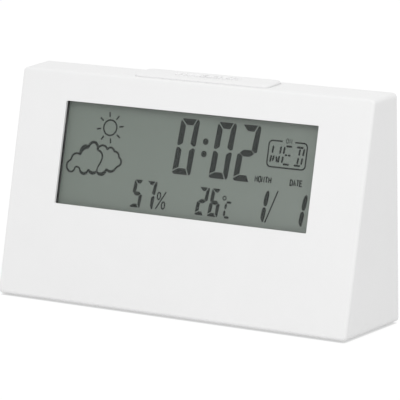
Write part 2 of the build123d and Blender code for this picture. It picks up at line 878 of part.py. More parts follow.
snooze_board_screws = screws(
    Plane(origin=(0, 0, snooze_board_z), x_dir=(1, 0, 0), z_dir=(0, 0, -1)),
    [(x, -y) for x, y in snooze_screw_places],
    screw_radius,
    screw_length,
    screw_head_radius,
    screw_head_height,
)
write(snooze_board_screws, "snooze_board_screws")

# Rear keys with their switches and board
key_switch_plane = at_back(key_board_depth)
write(push_switches(key_switch_plane, key_places, key_travel), "key_switches")
for name, place in zip(key_names, key_places):
    with BuildPart() as key_cap:
        with BuildSketch(at_back(cover_set_back - key_proud)):
            with Locations(place):
                RectangleRounded(key_length, key_width, key_corner_radius)
        extrude(amount=-(key_flange_depth - cover_set_back + key_proud))
        fillet(key_cap.faces().sort_by(outward)[-1].edges(), key_edge_radius)
        with BuildSketch(at_back(key_flange_depth)):
            with Locations(place):
                RectangleRounded(
                    key_length + 2 * key_flange, key_width + 2 * key_flange, key_corner_radius
                )
        extrude(amount=-key_flange_thickness)
        with BuildSketch(at_back(key_stem_depth)):
            with Locations(place):
                Circle(key_stem_radius)
        extrude(amount=-key_stem_length)
    write(key_cap.part, name)
    write(plunger(key_switch_plane, place), f"{name}_plunger")

with BuildPart() as key_board:
    with BuildSketch(at_back(key_board_depth)):
        with Locations((0, key_up)):
            Rectangle(key_board_length, key_board_width)
            with GridLocations(key_screw_spacing, 0, 2, 1):
                Circle(screw_radius + through_gap, mode=Mode.SUBTRACT)
    extrude(amount=-small_board_thickness)
write(key_board.part, "key_board")

key_board_screws = screws(
    Plane(
        origin=at_back(key_board_depth + small_board_thickness).origin,
        x_dir=(1, 0, 0),
        z_dir=-back_face.z_dir,
    ),
    [(-key_screw_spacing / 2, key_up), (key_screw_spacing / 2, key_up)],
    screw_radius,
    screw_length,
    screw_head_radius,
    screw_head_height,
)
write(key_board_screws, "key_board_screws")

# Humidity and temperature sensors on a small board behind the vents
with BuildPart() as sensor_board:
    with BuildSketch(at_back(sensor_board_depth)):
        with Locations((side_module_x, side_module_up)):
            Rectangle(sensor_board_length, sensor_board_width)
        with Locations(*sensor_screw_places):
            Circle(screw_radius + through_gap, mode=Mode.SUBTRACT)
    extrude(amount=-small_board_thickness)
write(sensor_board.part, "sensor_board")

sensor_board_screws = screws(
    Plane(
        origin=at_back(sensor_board_back).origin,
        x_dir=(1, 0, 0),
        z_dir=-back_face.z_dir,
    ),
    [(-x, up) for x, up in sensor_screw_places],
    screw_radius,
    screw_length,
    screw_head_radius,
    screw_head_height,
)
write(sensor_board_screws, "sensor_board_screws")

with BuildPart() as humidity_sensor:
    with BuildSketch(at_back(sensor_board_depth)):
        with Locations((side_module_x, side_module_up + humidity_up)):
            Rectangle(humidity_length, humidity_width)
    extrude(amount=humidity_height)
    with BuildSketch(at_back(sensor_board_depth - humidity_height)):
        with Locations((side_module_x, side_module_up + humidity_up)):
            with GridLocations(
                (humidity_length - humidity_wall) / humidity_slot_count, 0, humidity_slot_count, 1
            ):
                Rectangle(
                    (humidity_length - humidity_wall) / humidity_slot_count - humidity_wall,
                    humidity_width - 2 * humidity_wall,
                )
    extrude(amount=-humidity_wall, mode=Mode.SUBTRACT)
write(humidity_sensor.part, "humidity_sensor")

with BuildPart() as temperature_sensor:
    with BuildSketch(at_back(sensor_board_depth)):
        with Locations((side_module_x, side_module_up + bead_up)):
            with GridLocations(bead_radius, 0, 2, 1):
                Circle(bead_leg_radius)
    extrude(amount=bead_leg_length)
    bead_centre = back_point(
        -side_module_x, side_module_up + bead_up, sensor_board_depth - bead_leg_length
    )
    with Locations(bead_centre):
        Sphere(bead_radius)
write(temperature_sensor.part, "temperature_sensor")

# Sounder
with BuildPart() as buzzer_disc:
    with BuildSketch(at_back(buzzer_depth)):
        with Locations((-side_module_x, side_module_up)):
            Circle(buzzer_radius)
    extrude(amount=-buzzer_thickness)
write(buzzer_disc.part, "buzzer_disc")

with BuildPart() as buzzer_ceramic:
    with BuildSketch(at_back(buzzer_depth + buzzer_thickness)):
        with Locations((-side_module_x, side_module_up)):
            Circle(ceramic_radius)
    extrude(amount=-ceramic_thickness)
write(buzzer_ceramic.part, "buzzer_ceramic")

# Cells, one above the other and facing opposite ways
for name, height, way in (
    ("battery_upper", upper_cell_up, 1),
    ("battery_lower", lower_cell_up, -1),
):
    nub_end = back_point(
        way * (pocket_length / 2 - contact_thickness - contact_dimple_height), height, cell_axis_depth
    )
    with BuildPart() as cell:
        with BuildSketch(Plane(origin=nub_end, x_dir=(0, 0, 1), z_dir=(way, 0, 0))):
            Circle(cell_nub_radius)
        extrude(amount=-cell_nub_length - cell_edge_radius)
        with BuildSketch(
            Plane(origin=nub_end, x_dir=(0, 0, 1), z_dir=(way, 0, 0)).offset(-cell_nub_length)
        ):
            Circle(cell_radius)
        extrude(amount=cell_nub_length - cell_length)
        rims = cell.edges().filter_by(GeomType.CIRCLE)
        fillet([edge for edge in rims if edge.radius > cell_nub_radius], cell_edge_radius)
    write(cell.part, name)


def contact(side, places, plate_height, plate_up):
    """Contact plate at one end of the tray, with a dimple for a nub or a spring for a base."""
    with BuildPart() as piece:
        face = Plane(
            origin=back_point(side * (pocket_length / 2 - contact_thickness), plate_up, cell_axis_depth),
            x_dir=back_face.y_dir,
            z_dir=(side, 0, 0),
        )
        with BuildSketch(face):
            Rectangle(plate_height, contact_width)
        extrude(amount=contact_thickness)
        for kind, height in places:
            with BuildSketch(face):
                with Locations((height - plate_up, 0)):
                    Circle(contact_dimple_radius if kind == "dimple" else spring_base_radius)
            if kind == "dimple":
                extrude(amount=-contact_dimple_height)
            else:
                with BuildSketch(face.offset(-spring_length)):
                    with Locations((height - plate_up, 0)):
                        Circle(spring_end_radius)
                loft()
        if len(places) == 1:
            with BuildSketch(at_back(tail_depth + seam_gap / 2)):
                with Locations((-side * (pocket_length / 2 + (tray_wall + tail_out) / 2), plate_up)):
                    Rectangle(tray_wall + tail_out + 2 * contact_thickness, tail_width)
            extrude(amount=-contact_thickness)
    return piece.part


plate_height = 2 * (spring_base_radius + contact_thickness)
bridge_contact = contact(
    -1,
    [("spring", upper_cell_up), ("dimple", lower_cell_up)],
    plate_height + upper_cell_up - lower_cell_up,
    (upper_cell_up + lower_cell_up) / 2,
)
positive_contact = contact(1, [("dimple", upper_cell_up)], plate_height, upper_cell_up)
negative_contact = contact(1, [("spring", lower_cell_up)], plate_height, lower_cell_up)
write(bridge_contact, "battery_bridge_contact")
write(positive_contact, "battery_positive_contact")
write(negative_contact, "battery_negative_contact")

# Leads inside the case, each square to what it joins
tail_inside = tail_depth + seam_gap / 2 + contact_thickness
tail_x = pocket_length / 2 + tray_wall + tail_out / 2 + contact_thickness


def battery_lead(height, x, up):
    """Lead from a contact's tail to the back of the main board."""
    return lead(
        [
            back_point(tail_x, height, tail_inside),
            back_point(tail_x, height, tail_inside + lead_straight),
            front_point(x, board_low + up, board_back_depth + lead_straight),
            front_point(x, board_low + up, board_back_depth),
        ],
        lead_radius,
        lead_bend,
    )


write(battery_lead(upper_cell_up, tail_x + red_lead_out, red_lead_up), "battery_lead_red")
write(battery_lead(lower_cell_up, tail_x + black_lead_out, black_lead_up), "battery_lead_black")

disc_back = buzzer_depth + buzzer_thickness
with BuildPart() as buzzer_leads:
    for start_x, start_depth, end_x in (
        (
            side_module_x - (buzzer_radius + ceramic_radius) / 2,
            disc_back,
            side_module_x - 2 * thin_lead_spacing,
        ),
        (side_module_x, disc_back + ceramic_thickness, side_module_x),
    ):
        add(
            lead(
                [
                    back_point(start_x, side_module_up, start_depth),
                    back_point(start_x, side_module_up, start_depth + lead_straight),
                    front_point(end_x, board_low + side_lead_up, board_back_depth + lead_straight),
                    front_point(end_x, board_low + side_lead_up, board_back_depth),
                ],
                thin_lead_radius,
                lead_bend,
            )
        )
write(buzzer_leads.part, "buzzer_leads")

with BuildPart() as sensor_leads:
    for place in (-1, 0, 1):
        lead_x = place * thin_lead_spacing - side_module_x
        add(
            lead(
                [
                    back_point(lead_x, side_module_up + humidity_up, sensor_board_back),
                    back_point(
                        lead_x, side_module_up + humidity_up, sensor_board_back + lead_straight
                    ),
                    front_point(
                        lead_x, board_low + side_lead_up, board_back_depth + lead_straight
                    ),
                    front_point(lead_x, board_low + side_lead_up, board_back_depth),
                ],
                thin_lead_radius,
                thin_lead_bend,
            )
        )
write(sensor_leads.part, "sensor_leads")

with BuildPart() as snooze_leads:
    for place in (-1, 1):
        lead_x = snooze_lead_x + place * thin_lead_spacing / 2
        add(
            lead(
                [
                    Vector(lead_x, snooze_screw_y, snooze_board_z),
                    Vector(lead_x, snooze_screw_y, snooze_board_z - lead_straight),
                    front_point(
                        lead_x, board_high - snooze_lead_drop, board_back_depth + thin_lead_straight
                    ),
                    front_point(lead_x, board_high - snooze_lead_drop, board_back_depth),
                ],
                thin_lead_radius,
                thin_lead_bend,
            )
        )
write(snooze_leads.part, "snooze_leads")

ribbon_start = key_board_depth + small_board_thickness
ribbon_end_up = key_up - ribbon_drop
with BuildPart() as key_board_ribbon:
    with BuildLine() as ribbon_path:
        FilletPolyline(
            back_point(ribbon_x, key_up - ribbon_width / 2, ribbon_start),
            back_point(ribbon_x, key_up - ribbon_width / 2, ribbon_start + ribbon_straight),
            front_point(ribbon_x, ribbon_end_up, board_back_depth + ribbon_straight),
            front_point(ribbon_x, ribbon_end_up, board_back_depth),
            radius=ribbon_bend,
        )
    with BuildSketch(
        Plane(origin=ribbon_path.line @ 0, x_dir=(1, 0, 0), z_dir=ribbon_path.line % 0)
    ):
        Rectangle(ribbon_width, ribbon_thickness)
    sweep()
write(key_board_ribbon.part, "key_board_ribbon")

# Screws that hold the rear cover
cover_screws = screws(
    at_back(cover_set_back + cover_screw_head_height),
    cover_screw_places,
    cover_screw_radius,
    cover_screw_length,
    cover_screw_head_radius,
    cover_screw_head_height,
)
write(cover_screws, "cover_screws")

# Rubber feet in shallow recesses
for name, x, y in (
    ("foot_front_left", -foot_x, -foot_y),
    ("foot_front_right", foot_x, -foot_y),
    ("foot_back_left", -foot_x, foot_y),
    ("foot_back_right", foot_x, foot_y),
):
    with BuildPart() as foot:
        with BuildSketch(Plane.XY):
            with Locations((x, y)):
                Circle(foot_radius)
        extrude(amount=foot_lift + foot_recess)
        fillet(foot.faces().sort_by(Axis.Z)[0].edges(), foot_edge_radius)
    write(foot.part, name)
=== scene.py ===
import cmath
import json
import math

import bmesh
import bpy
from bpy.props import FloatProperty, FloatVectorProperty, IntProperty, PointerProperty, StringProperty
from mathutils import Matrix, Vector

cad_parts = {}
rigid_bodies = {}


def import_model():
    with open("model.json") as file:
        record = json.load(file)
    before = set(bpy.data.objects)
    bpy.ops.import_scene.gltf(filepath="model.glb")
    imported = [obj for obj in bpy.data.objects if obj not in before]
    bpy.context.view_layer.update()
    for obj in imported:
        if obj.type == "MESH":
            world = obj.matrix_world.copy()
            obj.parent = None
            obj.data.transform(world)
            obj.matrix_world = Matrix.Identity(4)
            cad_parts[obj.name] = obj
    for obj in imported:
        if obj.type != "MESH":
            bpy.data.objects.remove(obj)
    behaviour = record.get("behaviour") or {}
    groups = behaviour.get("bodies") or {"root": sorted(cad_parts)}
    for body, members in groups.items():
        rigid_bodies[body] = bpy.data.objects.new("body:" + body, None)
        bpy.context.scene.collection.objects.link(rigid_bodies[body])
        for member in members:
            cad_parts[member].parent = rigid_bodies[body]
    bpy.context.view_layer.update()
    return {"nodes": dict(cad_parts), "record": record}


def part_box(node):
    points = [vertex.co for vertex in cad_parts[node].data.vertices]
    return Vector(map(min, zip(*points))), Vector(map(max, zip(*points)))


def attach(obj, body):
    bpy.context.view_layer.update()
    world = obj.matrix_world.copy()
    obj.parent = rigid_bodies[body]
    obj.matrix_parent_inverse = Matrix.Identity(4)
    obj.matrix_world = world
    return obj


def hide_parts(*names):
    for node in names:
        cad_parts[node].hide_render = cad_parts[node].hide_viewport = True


bl_info = {
    "name": "Desk weather clock",
    "version": (1, 0, 0),
    "blender": (4, 5, 0),
    "location": "3D View > Sidebar > Clock",
    "description": "Dresses a wedge-shaped desk clock with its display, reliefs and finishes",
    "category": "Object",
}

for leftover in list(bpy.data.objects):
    bpy.data.objects.remove(leftover)
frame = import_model()

MM = 0.001

# How far the display's front film reaches past the window
POLARIZER_MARGIN = 1.0 * MM

# Strength of the floor's own glow where the view meets it, and its share beside the lit floor
FLOOR_GLOW = 1.05
GLOW_SHARE = 0.88

# Share of white painted into the display's ground at its foot, a painted light that stands in for the
# window's top edge shading the ground's top
FOOT_PAINTED_LIGHT = 0.020

# Least cosine between a face and the side that it is taken to look to
FACING = 0.9

# Turn of the sun's rays, in degrees, and the steps in each arc of the clouds
RAY_TURN = 9
ARC_STEPS = 12

# Where the lamp and the camera stand, in metres, and how the camera is turned, in degrees
LAMP_PLACE = (0.20, -0.46, 0.52)
CAMERA_PLACE = (0.50832, -0.81686, 0.22353)
CAMERA_DOWN = 11.016
CAMERA_TURN = 31.767

# Ground that the floor covers each way from the object
FLOOR_REACH = 6.0

# A cell's bare flat end, its bare end with the nub, and how far its band reaches from the nub
FLAT_END_BARE = 0.5 * MM
NUB_END_BARE = 1.4 * MM
BAND_REACH = 12 * MM

# Least area of a face of the bar that words are laid on, in square metres
BAR_FACE_AREA = 1e-6

# Height of the printed words over the middle of their keys
KEY_WORD_LIFT = 4.9 * MM

# Least cosine of half a bend at which a band keeps its full width round a corner
MITRE_LIMIT = 0.6

# Strokes of the small printed capitals in a square of one by one, y down; True closes a stroke
LETTER_STROKES = {
    "A": [(False, [(0, 1), (0.5, 0), (1, 1)]), (False, [(0.2, 0.65), (0.8, 0.65)])],
    "D": [(True, [(0, 0), (0.6, 0), (1, 0.25), (1, 0.75), (0.6, 1), (0, 1)])],
    "E": [(False, [(1, 0), (0, 0), (0, 1), (1, 1)]), (False, [(0, 0.5), (0.85, 0.5)])],
    "H": [(False, [(0, 0), (0, 1)]), (False, [(1, 0), (1, 1)]), (False, [(0, 0.5), (1, 0.5)])],
    "M": [(False, [(0, 1), (0, 0), (0.5, 0.6), (1, 0), (1, 1)])],
    "N": [(False, [(0, 1), (0, 0), (1, 1), (1, 0)])],
    "O": [(True, [(0.3, 0), (0.7, 0), (1, 0.25), (1, 0.75), (0.7, 1), (0.3, 1), (0, 0.75), (0, 0.25)])],
    "T": [(False, [(0, 0), (1, 0)]), (False, [(0.5, 0), (0.5, 1)])],
}

# Segments of the figures 0 to 9, by their usual letters, clockwise with the middle bar as g
FIGURE_SEGMENTS = (
    "abcdef", "bc", "abged", "abgcd", "fgbc", "afgcd", "afgcde", "abc", "abcdefg", "abcdfg",
)


# Places and directions taken from the frame


def outer_face(node_name, side):
    """Outermost large flat face of a node that looks to the front (-1) or to the back (1)."""
    mesh = frame["nodes"][node_name].data
    facing = [face for face in mesh.polygons if face.normal.y * side > FACING]
    largest = max(face.area for face in facing)
    large = [face for face in facing if face.area > largest / 2]
    face = max(large, key=lambda one: one.center.dot(one.normal))
    return face.center.copy(), face.normal.copy()


class Sheet:
    """Flat place on the object, with x to its right, y down it and lift away from it."""

    def __init__(self, origin, right, outward):
        self.origin = origin
        self.right = right.normalized()
        self.outward = outward.normalized()
        self.down = self.right.cross(self.outward)
        if self.down.z > 0:
            self.down = -self.down

    def point(self, x, y, lift=0.0):
        """Point of the object from a place on the sheet."""
        return self.origin + self.right * x + self.down * y + self.outward * lift


def span(node_name, direction):
    """Lowest and highest reach of a node along a direction."""
    reach = [vertex.co.dot(direction) for vertex in frame["nodes"][node_name].data.vertices]
    return min(reach), max(reach)


def window_sheet():
    """Sheet on the display's front film, with its origin at the window's top left corner."""
    centre, outward = outer_face("lcd_front_polarizer", -1)
    up = Vector((0, outward.z, -outward.y))
    low, high = span("lcd_front_polarizer", up)
    left, right = span("lcd_front_polarizer", Vector((1, 0, 0)))
    corner = centre - Vector((centre.x, 0, 0))
    corner += up * (high - POLARIZER_MARGIN - corner.dot(up))
    corner.x = left + POLARIZER_MARGIN
    sheet = Sheet(corner, Vector((1, 0, 0)), outward)
    return sheet, right - left - 2 * POLARIZER_MARGIN, high - low - 2 * POLARIZER_MARGIN


window, window_width, window_height = window_sheet()
rear_centre, rear_outward = outer_face("rear_cover", 1)
rear = Sheet(rear_centre - Vector((rear_centre.x, 0, 0)), Vector((-1, 0, 0)), rear_outward)


def rear_place(node_name):
    """Middle of a node as x and y on the rear sheet."""
    low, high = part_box(node_name)
    middle = (low + high) / 2 - rear.origin
    return middle.dot(rear.right), middle.dot(rear.down)


# Mesh helpers


def added(name, data):
    """New object in the scene."""
    made = bpy.data.objects.new(name, data)
    bpy.context.scene.collection.objects.link(made)
    return made


def with_settings(data, **settings):
    """The same data, with these settings."""
    for key, value in settings.items():
        setattr(data, key, value)
    return data


def taken(holder):
    """Plain mesh of what an object shows; the object itself goes."""
    bpy.context.view_layer.update()
    shown = holder.evaluated_get(bpy.context.evaluated_depsgraph_get())
    mesh = bpy.data.meshes.new_from_object(shown)
    bpy.data.objects.remove(holder)
    return mesh


def cleaned(mesh, merge=0.0):
    """The mesh with its faces turned outwards and points nearer than a distance merged."""
    shape = bmesh.new()
    shape.from_mesh(mesh)
    if merge:
        bmesh.ops.remove_doubles(shape, verts=shape.verts, dist=merge)
    bmesh.ops.recalc_face_normals(shape, faces=shape.faces)
    shape.to_mesh(mesh)
    shape.free()
    return mesh


class Plates:
    """Flat plates of one thickness, collected on a sheet; their places are in millimetres."""

    def __init__(self, sheet, thickness):
        self.sheet = sheet
        self.thickness = thickness
        self.points = []
        self.faces = []

    def add_point(self, x, y, lift):
        """Adds a point over a place."""
        self.points.append(self.sheet.point(x * MM, y * MM, lift))

    def outline(self, outline):
        """Adds a plate with a simple outline of (x, y) places."""
        start, count = len(self.points), len(outline)
        for lift in (0.0, self.thickness):
            for x, y in outline:
                self.add_point(x, y, lift)
        low = list(range(start, start + count))
        high = [index + count for index in low]
        self.faces.append(low[::-1])
        self.faces.append(high)
        for one, other in zip(low, low[1:] + low[:1]):
            self.faces.append((one, other, other + count, one + count))

    def strip(self, line, widths, closed=False):
        """Adds a band along a line of (x, y) places with a width at each of them."""
        count = len(line)
        start = len(self.points)
        for index, (x, y) in enumerate(line):
            here = Vector((x, y))
            before = Vector(line[index - 1]) if closed or index else None
            after = Vector(line[(index + 1) % count]) if closed or index < count - 1 else None
            leaving = (after - here if after else here - before).normalized()
            arriving = (here - before if before else after - here).normalized()
            along = (leaving + arriving).normalized()
            half = widths[index] / 2 / max(along.dot(leaving), MITRE_LIMIT)
            for side in (-half, half):
                for lift in (0.0, self.thickness):
                    self.add_point(x - along.y * side, y + along.x * side, lift)
        steps = count if closed else count - 1
        for index in range(steps):
            a = start + 4 * index
            b = start + 4 * ((index + 1) % count)
            for one, other in ((0, 2), (2, 3), (3, 1), (1, 0)):
                self.faces.append((a + one, a + other, b + other, b + one))
        if not closed:
            for end in (start, start + 4 * (count - 1)):
                self.faces.append((end, end + 2, end + 3, end + 1))

    def mesh(self, name):
        """Mesh of all the plates."""
        mesh = bpy.data.meshes.new(name)
        mesh.from_pydata([tuple(point) for point in self.points], [], self.faces)
        return cleaned(mesh)


def arc_through(start, middle, end, steps):
    """Places along the round arc from start to end by way of middle, all (x, y)."""
    first, second, last = (complex(*place) for place in (start, middle, end))
    ratio = (last - first) / (second - first)
    centre = first + (second - first) * (ratio - abs(ratio) ** 2) / (2j * ratio.imag)
    begin = cmath.phase(first - centre)
    sweep = (cmath.phase(last - centre) - begin) % math.tau
    if (cmath.phase(second - centre) - begin) % math.tau > sweep:
        sweep -= math.tau
    radius = abs(first - centre)
    turns = [begin + sweep * step / steps for step in range(steps + 1)]
    return [(centre.real + radius * math.cos(turn), centre.imag + radius * math.sin(turn)) for turn in turns]


def rounded(left, right, top, bottom, bend, steps):
    """Places round a rectangle with rounded corners, clockwise from its top right one, y down."""
    places = []
    for x, y, start in (
        (right - bend, top + bend, -90), (right - bend, bottom - bend, 0),
        (left + bend, bottom - bend, 90), (left + bend, top + bend, 180),
    ):
        for step in range(steps + 1):
            turn = math.radians(start + 90 * step / steps)
            places.append((x + bend * math.cos(turn), y + bend * math.sin(turn)))
    return places


def ring_line(x, y, half_width, half_height, steps):
    """Places round an ellipse."""
    return [
        (x + half_width * math.cos(math.tau * step / steps),
         y + half_height * math.sin(math.tau * step / steps))
        for step in range(steps)
    ]


def piece(name, mesh, body, material, slot, *stands_for):
    """Object for a finished mesh that rides on a body and has a finish."""
    made = added(name, mesh)
    if material.name not in mesh.materials:
        mesh.materials.append(material)
    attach(made, body)
    if stands_for:
        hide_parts(*stands_for)
    return made


def words_mesh(name, words, size, thickness, boldness=0.0, squeeze=1.0, bevel=0.0, spacing=1.0):
    """Flat mesh of words, centred on its own origin, x to the right and y up."""
    # The letters are made one metre high, as very small ones are filled wrongly
    curve = with_settings(
        bpy.data.curves.new(name, "FONT"), body=words, size=1.0, extrude=thickness / size / 2,
        offset=boldness / size, space_character=spacing, bevel_depth=bevel / size, bevel_resolution=3,
        resolution_u=6, align_x="CENTER", align_y="CENTER",
    )
    mesh = taken(added(name, curve))
    bpy.data.curves.remove(curve)
    mesh.transform(Matrix.Scale(size, 4))
    xs = [vertex.co.x for vertex in mesh.vertices]
    ys = [vertex.co.y for vertex in mesh.vertices]
    centre = Vector(((min(xs) + max(xs)) / 2, (min(ys) + max(ys)) / 2, 0))
    for vertex in mesh.vertices:
        vertex.co -= centre
        vertex.co.x *= squeeze
    return cleaned(mesh, thickness / 100)


def laid(mesh, sheet, x, y, lift):
    """Lays a flat mesh on a sheet at a place, its middle at a height above the sheet."""
    centre = sheet.point(x, y, lift)
    turn = Matrix((sheet.right, -sheet.down, sheet.outward)).transposed()
    mesh.transform(Matrix.Translation(centre) @ turn.to_4x4())
    mesh.update()
    return mesh


def joined(name, meshes):
    """One mesh of several."""
    shape = bmesh.new()
    for mesh in meshes:
        shape.from_mesh(mesh)
        bpy.data.meshes.remove(mesh)
    made = bpy.data.meshes.new(name)
    shape.to_mesh(made)
    shape.free()
    return made


# Geometry node helpers


def node(tree, kind, inputs=None, **settings):
    """Adds a node, with its settings, and fills or links its inputs."""
    made = with_settings(tree.nodes.new(kind), **settings)
    for key, value in (inputs or {}).items():
        if isinstance(value, bpy.types.NodeSocket):
            tree.links.new(value, made.inputs[key])
        else:
            made.inputs[key].default_value = value
    return made


def maths(tree, operation, first, second):
    """Sum, product or the like of two values or value sockets."""
    return node(tree, "ShaderNodeMath", {0: first, 1: second}, operation=operation).outputs[0]


def vector(tree, **parts):
    """Vector of values or value sockets, by their axes."""
    return node(tree, "ShaderNodeCombineXYZ", parts).outputs[0]


def shape_tree(name, sizes, material):
    """Geometry tree with named inputs, and a function that closes it on a geometry socket."""
    tree = bpy.data.node_groups.new(name, "GeometryNodeTree")
    for label, value in sizes.items():
        kind = "NodeSocketInt" if isinstance(value, int) else "NodeSocketFloat"
        socket = tree.interface.new_socket(label, in_out="INPUT", socket_type=kind)
        socket.default_value = value
    tree.interface.new_socket("Geometry", in_out="OUTPUT", socket_type="NodeSocketGeometry")
    given = node(tree, "NodeGroupInput").outputs

    def close(geometry):
        real = node(tree, "GeometryNodeRealizeInstances", {"Geometry": geometry})
        dressed = node(
            tree, "GeometryNodeSetMaterial", {"Geometry": real.outputs[0], "Material": material}
        )
        node(tree, "NodeGroupOutput", {"Geometry": dressed.outputs[0]})

    return tree, given, close


def grown(tree, values):
    """Plain mesh that a geometry tree makes with these input values, by their names."""
    holder = added(tree.name, bpy.data.meshes.new(tree.name))
    modifier = holder.modifiers.new(tree.name, "NODES")
    modifier.node_group = tree
    for socket in tree.interface.items_tree:
        if socket.in_out == "INPUT" and socket.name in values:
            modifier[socket.identifier] = values[socket.name]
    return taken(holder)


# Finishes


def blank(name):
    """Empty material, its tree and its Object coordinates."""
    material = bpy.data.materials.new(name)
    material.use_nodes = True
    tree = material.node_tree
    tree.nodes.clear()
    return material, tree, node(tree, "ShaderNodeTexCoord").outputs["Object"]


def noise(tree, place, size, detail=2.0):
    """Noise value with features of this size."""
    values = {"Vector": place, "Scale": 1 / size, "Detail": detail}
    return node(tree, "ShaderNodeTexNoise", values).outputs["Fac"]


def cells(tree, place, size):
    """Distance from the middle of the nearest cell of this size."""
    return node(tree, "ShaderNodeTexVoronoi", {"Vector": place, "Scale": 1 / size}).outputs["Distance"]


def ranged(tree, value, low, high, start=0.0, end=1.0):
    """Value that runs from low to high while another runs from start to end."""
    values = {"Value": value, "From Min": start, "From Max": end, "To Min": low, "To Max": high}
    return node(tree, "ShaderNodeMapRange", values).outputs["Result"]


def blended(tree, share, first, second):
    """Colour between two colours or colour sockets."""
    mix = tree.nodes.new("ShaderNodeMix")
    mix.data_type = "RGBA"
    for socket, value in ((mix.inputs[0], share), (mix.inputs[6], first), (mix.inputs[7], second)):
        if isinstance(value, bpy.types.NodeSocket):
            tree.links.new(value, socket)
        elif socket == mix.inputs[0]:
            socket.default_value = value
        else:
            socket.default_value = (*value, 1.0)
    return mix.outputs[2]


def bumped(tree, height, distance, strength):
    """Normal of a surface with a fine relief."""
    values = {"Height": height, "Distance": distance, "Strength": strength}
    return node(tree, "ShaderNodeBump", values).outputs[0]


def mixed(tree, share, first, second):
    """Surface between the surfaces of two shader nodes."""
    values = {0: share, 1: first.outputs[0], 2: second.outputs[0]}
    return node(tree, "ShaderNodeMixShader", values).outputs[0]


def shade(colour, factor):
    """The same colour, darker or lighter."""
    return tuple(min(1.0, part * factor) for part in colour)


def closed(material, surface):
    """The material with this surface at its output."""
    node(material.node_tree, "ShaderNodeOutputMaterial", {"Surface": surface})
    return material


def principled(material, values):
    """The material with one principled surface that has these inputs."""
    return closed(material, node(material.node_tree, "ShaderNodeBsdfPrincipled", values).outputs[0])


def moulded(name, colour, roughness, grain=0.3 * MM, relief=0.006 * MM, mottle=0.02):
    """Moulded plastic with a fine spark-eroded grain and a faint cloudiness."""
    material, tree, place = blank(name)
    cloud = noise(tree, place, 14 * MM, 3.0)
    return principled(material, {
        "Base Color": blended(tree, cloud, shade(colour, 1 - mottle), shade(colour, 1 + mottle / 2)),
        "Roughness": ranged(tree, cloud, roughness - 0.04, roughness + 0.04, 0.3, 0.7),
        "Normal": bumped(tree, noise(tree, place, grain), relief, 0.6),
    })


def metal(name, colour, roughness, streak=(1.0, 1.0, 1.0), scratch=0.25 * MM):
    """Metal with fine streaks drawn out along one direction."""
    material, tree, place = blank(name)
    drawn = node(tree, "ShaderNodeMapping", {"Vector": place, "Scale": streak}).outputs[0]
    lines = noise(tree, drawn, scratch, 4.0)
    patch = noise(tree, place, 3 * MM)
    return principled(material, {
        "Base Color": blended(tree, patch, shade(colour, 0.92), shade(colour, 1.05)),
        "Metallic": 1.0,
        "Roughness": ranged(tree, lines, roughness - 0.07, roughness + 0.1),
        "Normal": bumped(tree, lines, 0.003 * MM, 0.5),
    })


def clear_pane(name, tint, ior):
    """Clear sheet that lets lamps light what lies behind it."""
    material, tree, place = blank(name)
    haze = ranged(tree, noise(tree, place, 6 * MM), 0.01, 0.03)
    values = {"Base Color": (*tint, 1.0), "Transmission Weight": 1.0, "IOR": ior, "Roughness": haze}
    glass = node(tree, "ShaderNodeBsdfPrincipled", values)
    ray = node(tree, "ShaderNodeLightPath").outputs
    passing = maths(tree, "MAXIMUM", ray["Is Shadow Ray"], ray["Is Diffuse Ray"])
    through = node(tree, "ShaderNodeBsdfTransparent", {"Color": (*tint, 1.0)})
    return closed(material, mixed(tree, passing, glass, through))


def display_ground(name, left, right):
    """Grey-green reflective ground of the display, with painted light and shade: paler towards its right end
    and its foot, darker towards its left end and top.
    """
    material, tree, place = blank(name)
    axes = node(tree, "ShaderNodeSeparateXYZ", {"Vector": place}).outputs
    # Painted shade: the ground is darker towards its left end and paler towards its right, as light falls on
    # it
    ground = blended(
        tree, ranged(tree, axes["X"], 0.0, 1.0, -window_width / 2, window_width / 2), left, right
    )
    low, high = window.point(0, window_height).z, window.point(0, 0).z
    # Painted light: the ground whitens towards its foot, and so reads darker under the window's top edge
    # where shade falls
    foot = ranged(tree, axes["Z"], FOOT_PAINTED_LIGHT, 0.0, low, high)
    sparkle = ranged(tree, noise(tree, place, 0.12 * MM, 1.0), 0.0, 0.1)
    slow = ranged(tree, noise(tree, place, 25 * MM), 0.0, 0.06)
    for share, towards in ((foot, (1.0, 1.0, 1.0)), (sparkle, shade(left, 1.5)), (slow, shade(right, 0.6))):
        ground = blended(tree, share, ground, towards)
    return principled(material, {"Base Color": ground, "Roughness": 0.5, "Specular IOR Level": 0.2})


def dark_ink(name, colour):
    """Dark driven liquid crystal, or the ink of a printed word."""
    material, tree, place = blank(name)
    tint = blended(tree, noise(tree, place, 1.2 * MM), shade(colour, 0.8), shade(colour, 1.2))
    return principled(material, {"Base Color": tint, "Roughness": 0.6, "Specular IOR Level": 0.1})


def foam(name, colour):
    """Closed-cell foam with small open pits on its skin."""
    material, tree, place = blank(name)
    pits = cells(tree, place, 0.25 * MM)
    # Painted shade: the skin is darker down in the pits and paler between them
    tint = blended(tree, pits, shade(colour, 0.6), shade(colour, 1.6))
    normal = bumped(tree, pits, 0.05 * MM, 0.7)
    return principled(material, {"Base Color": tint, "Roughness": 0.9, "Normal": normal})


def layered(name, first, second, pitch):
    """Rubber in thin upright layers of two colours."""
    material, tree, place = blank(name)
    values = {"Vector": place, "Scale": math.tau / (20 * pitch), "Distortion": 0.2}
    bands = node(tree, "ShaderNodeTexWave", values, bands_direction="X").outputs["Fac"]
    return principled(material, {"Base Color": blended(tree, bands, first, second), "Roughness": 0.7})


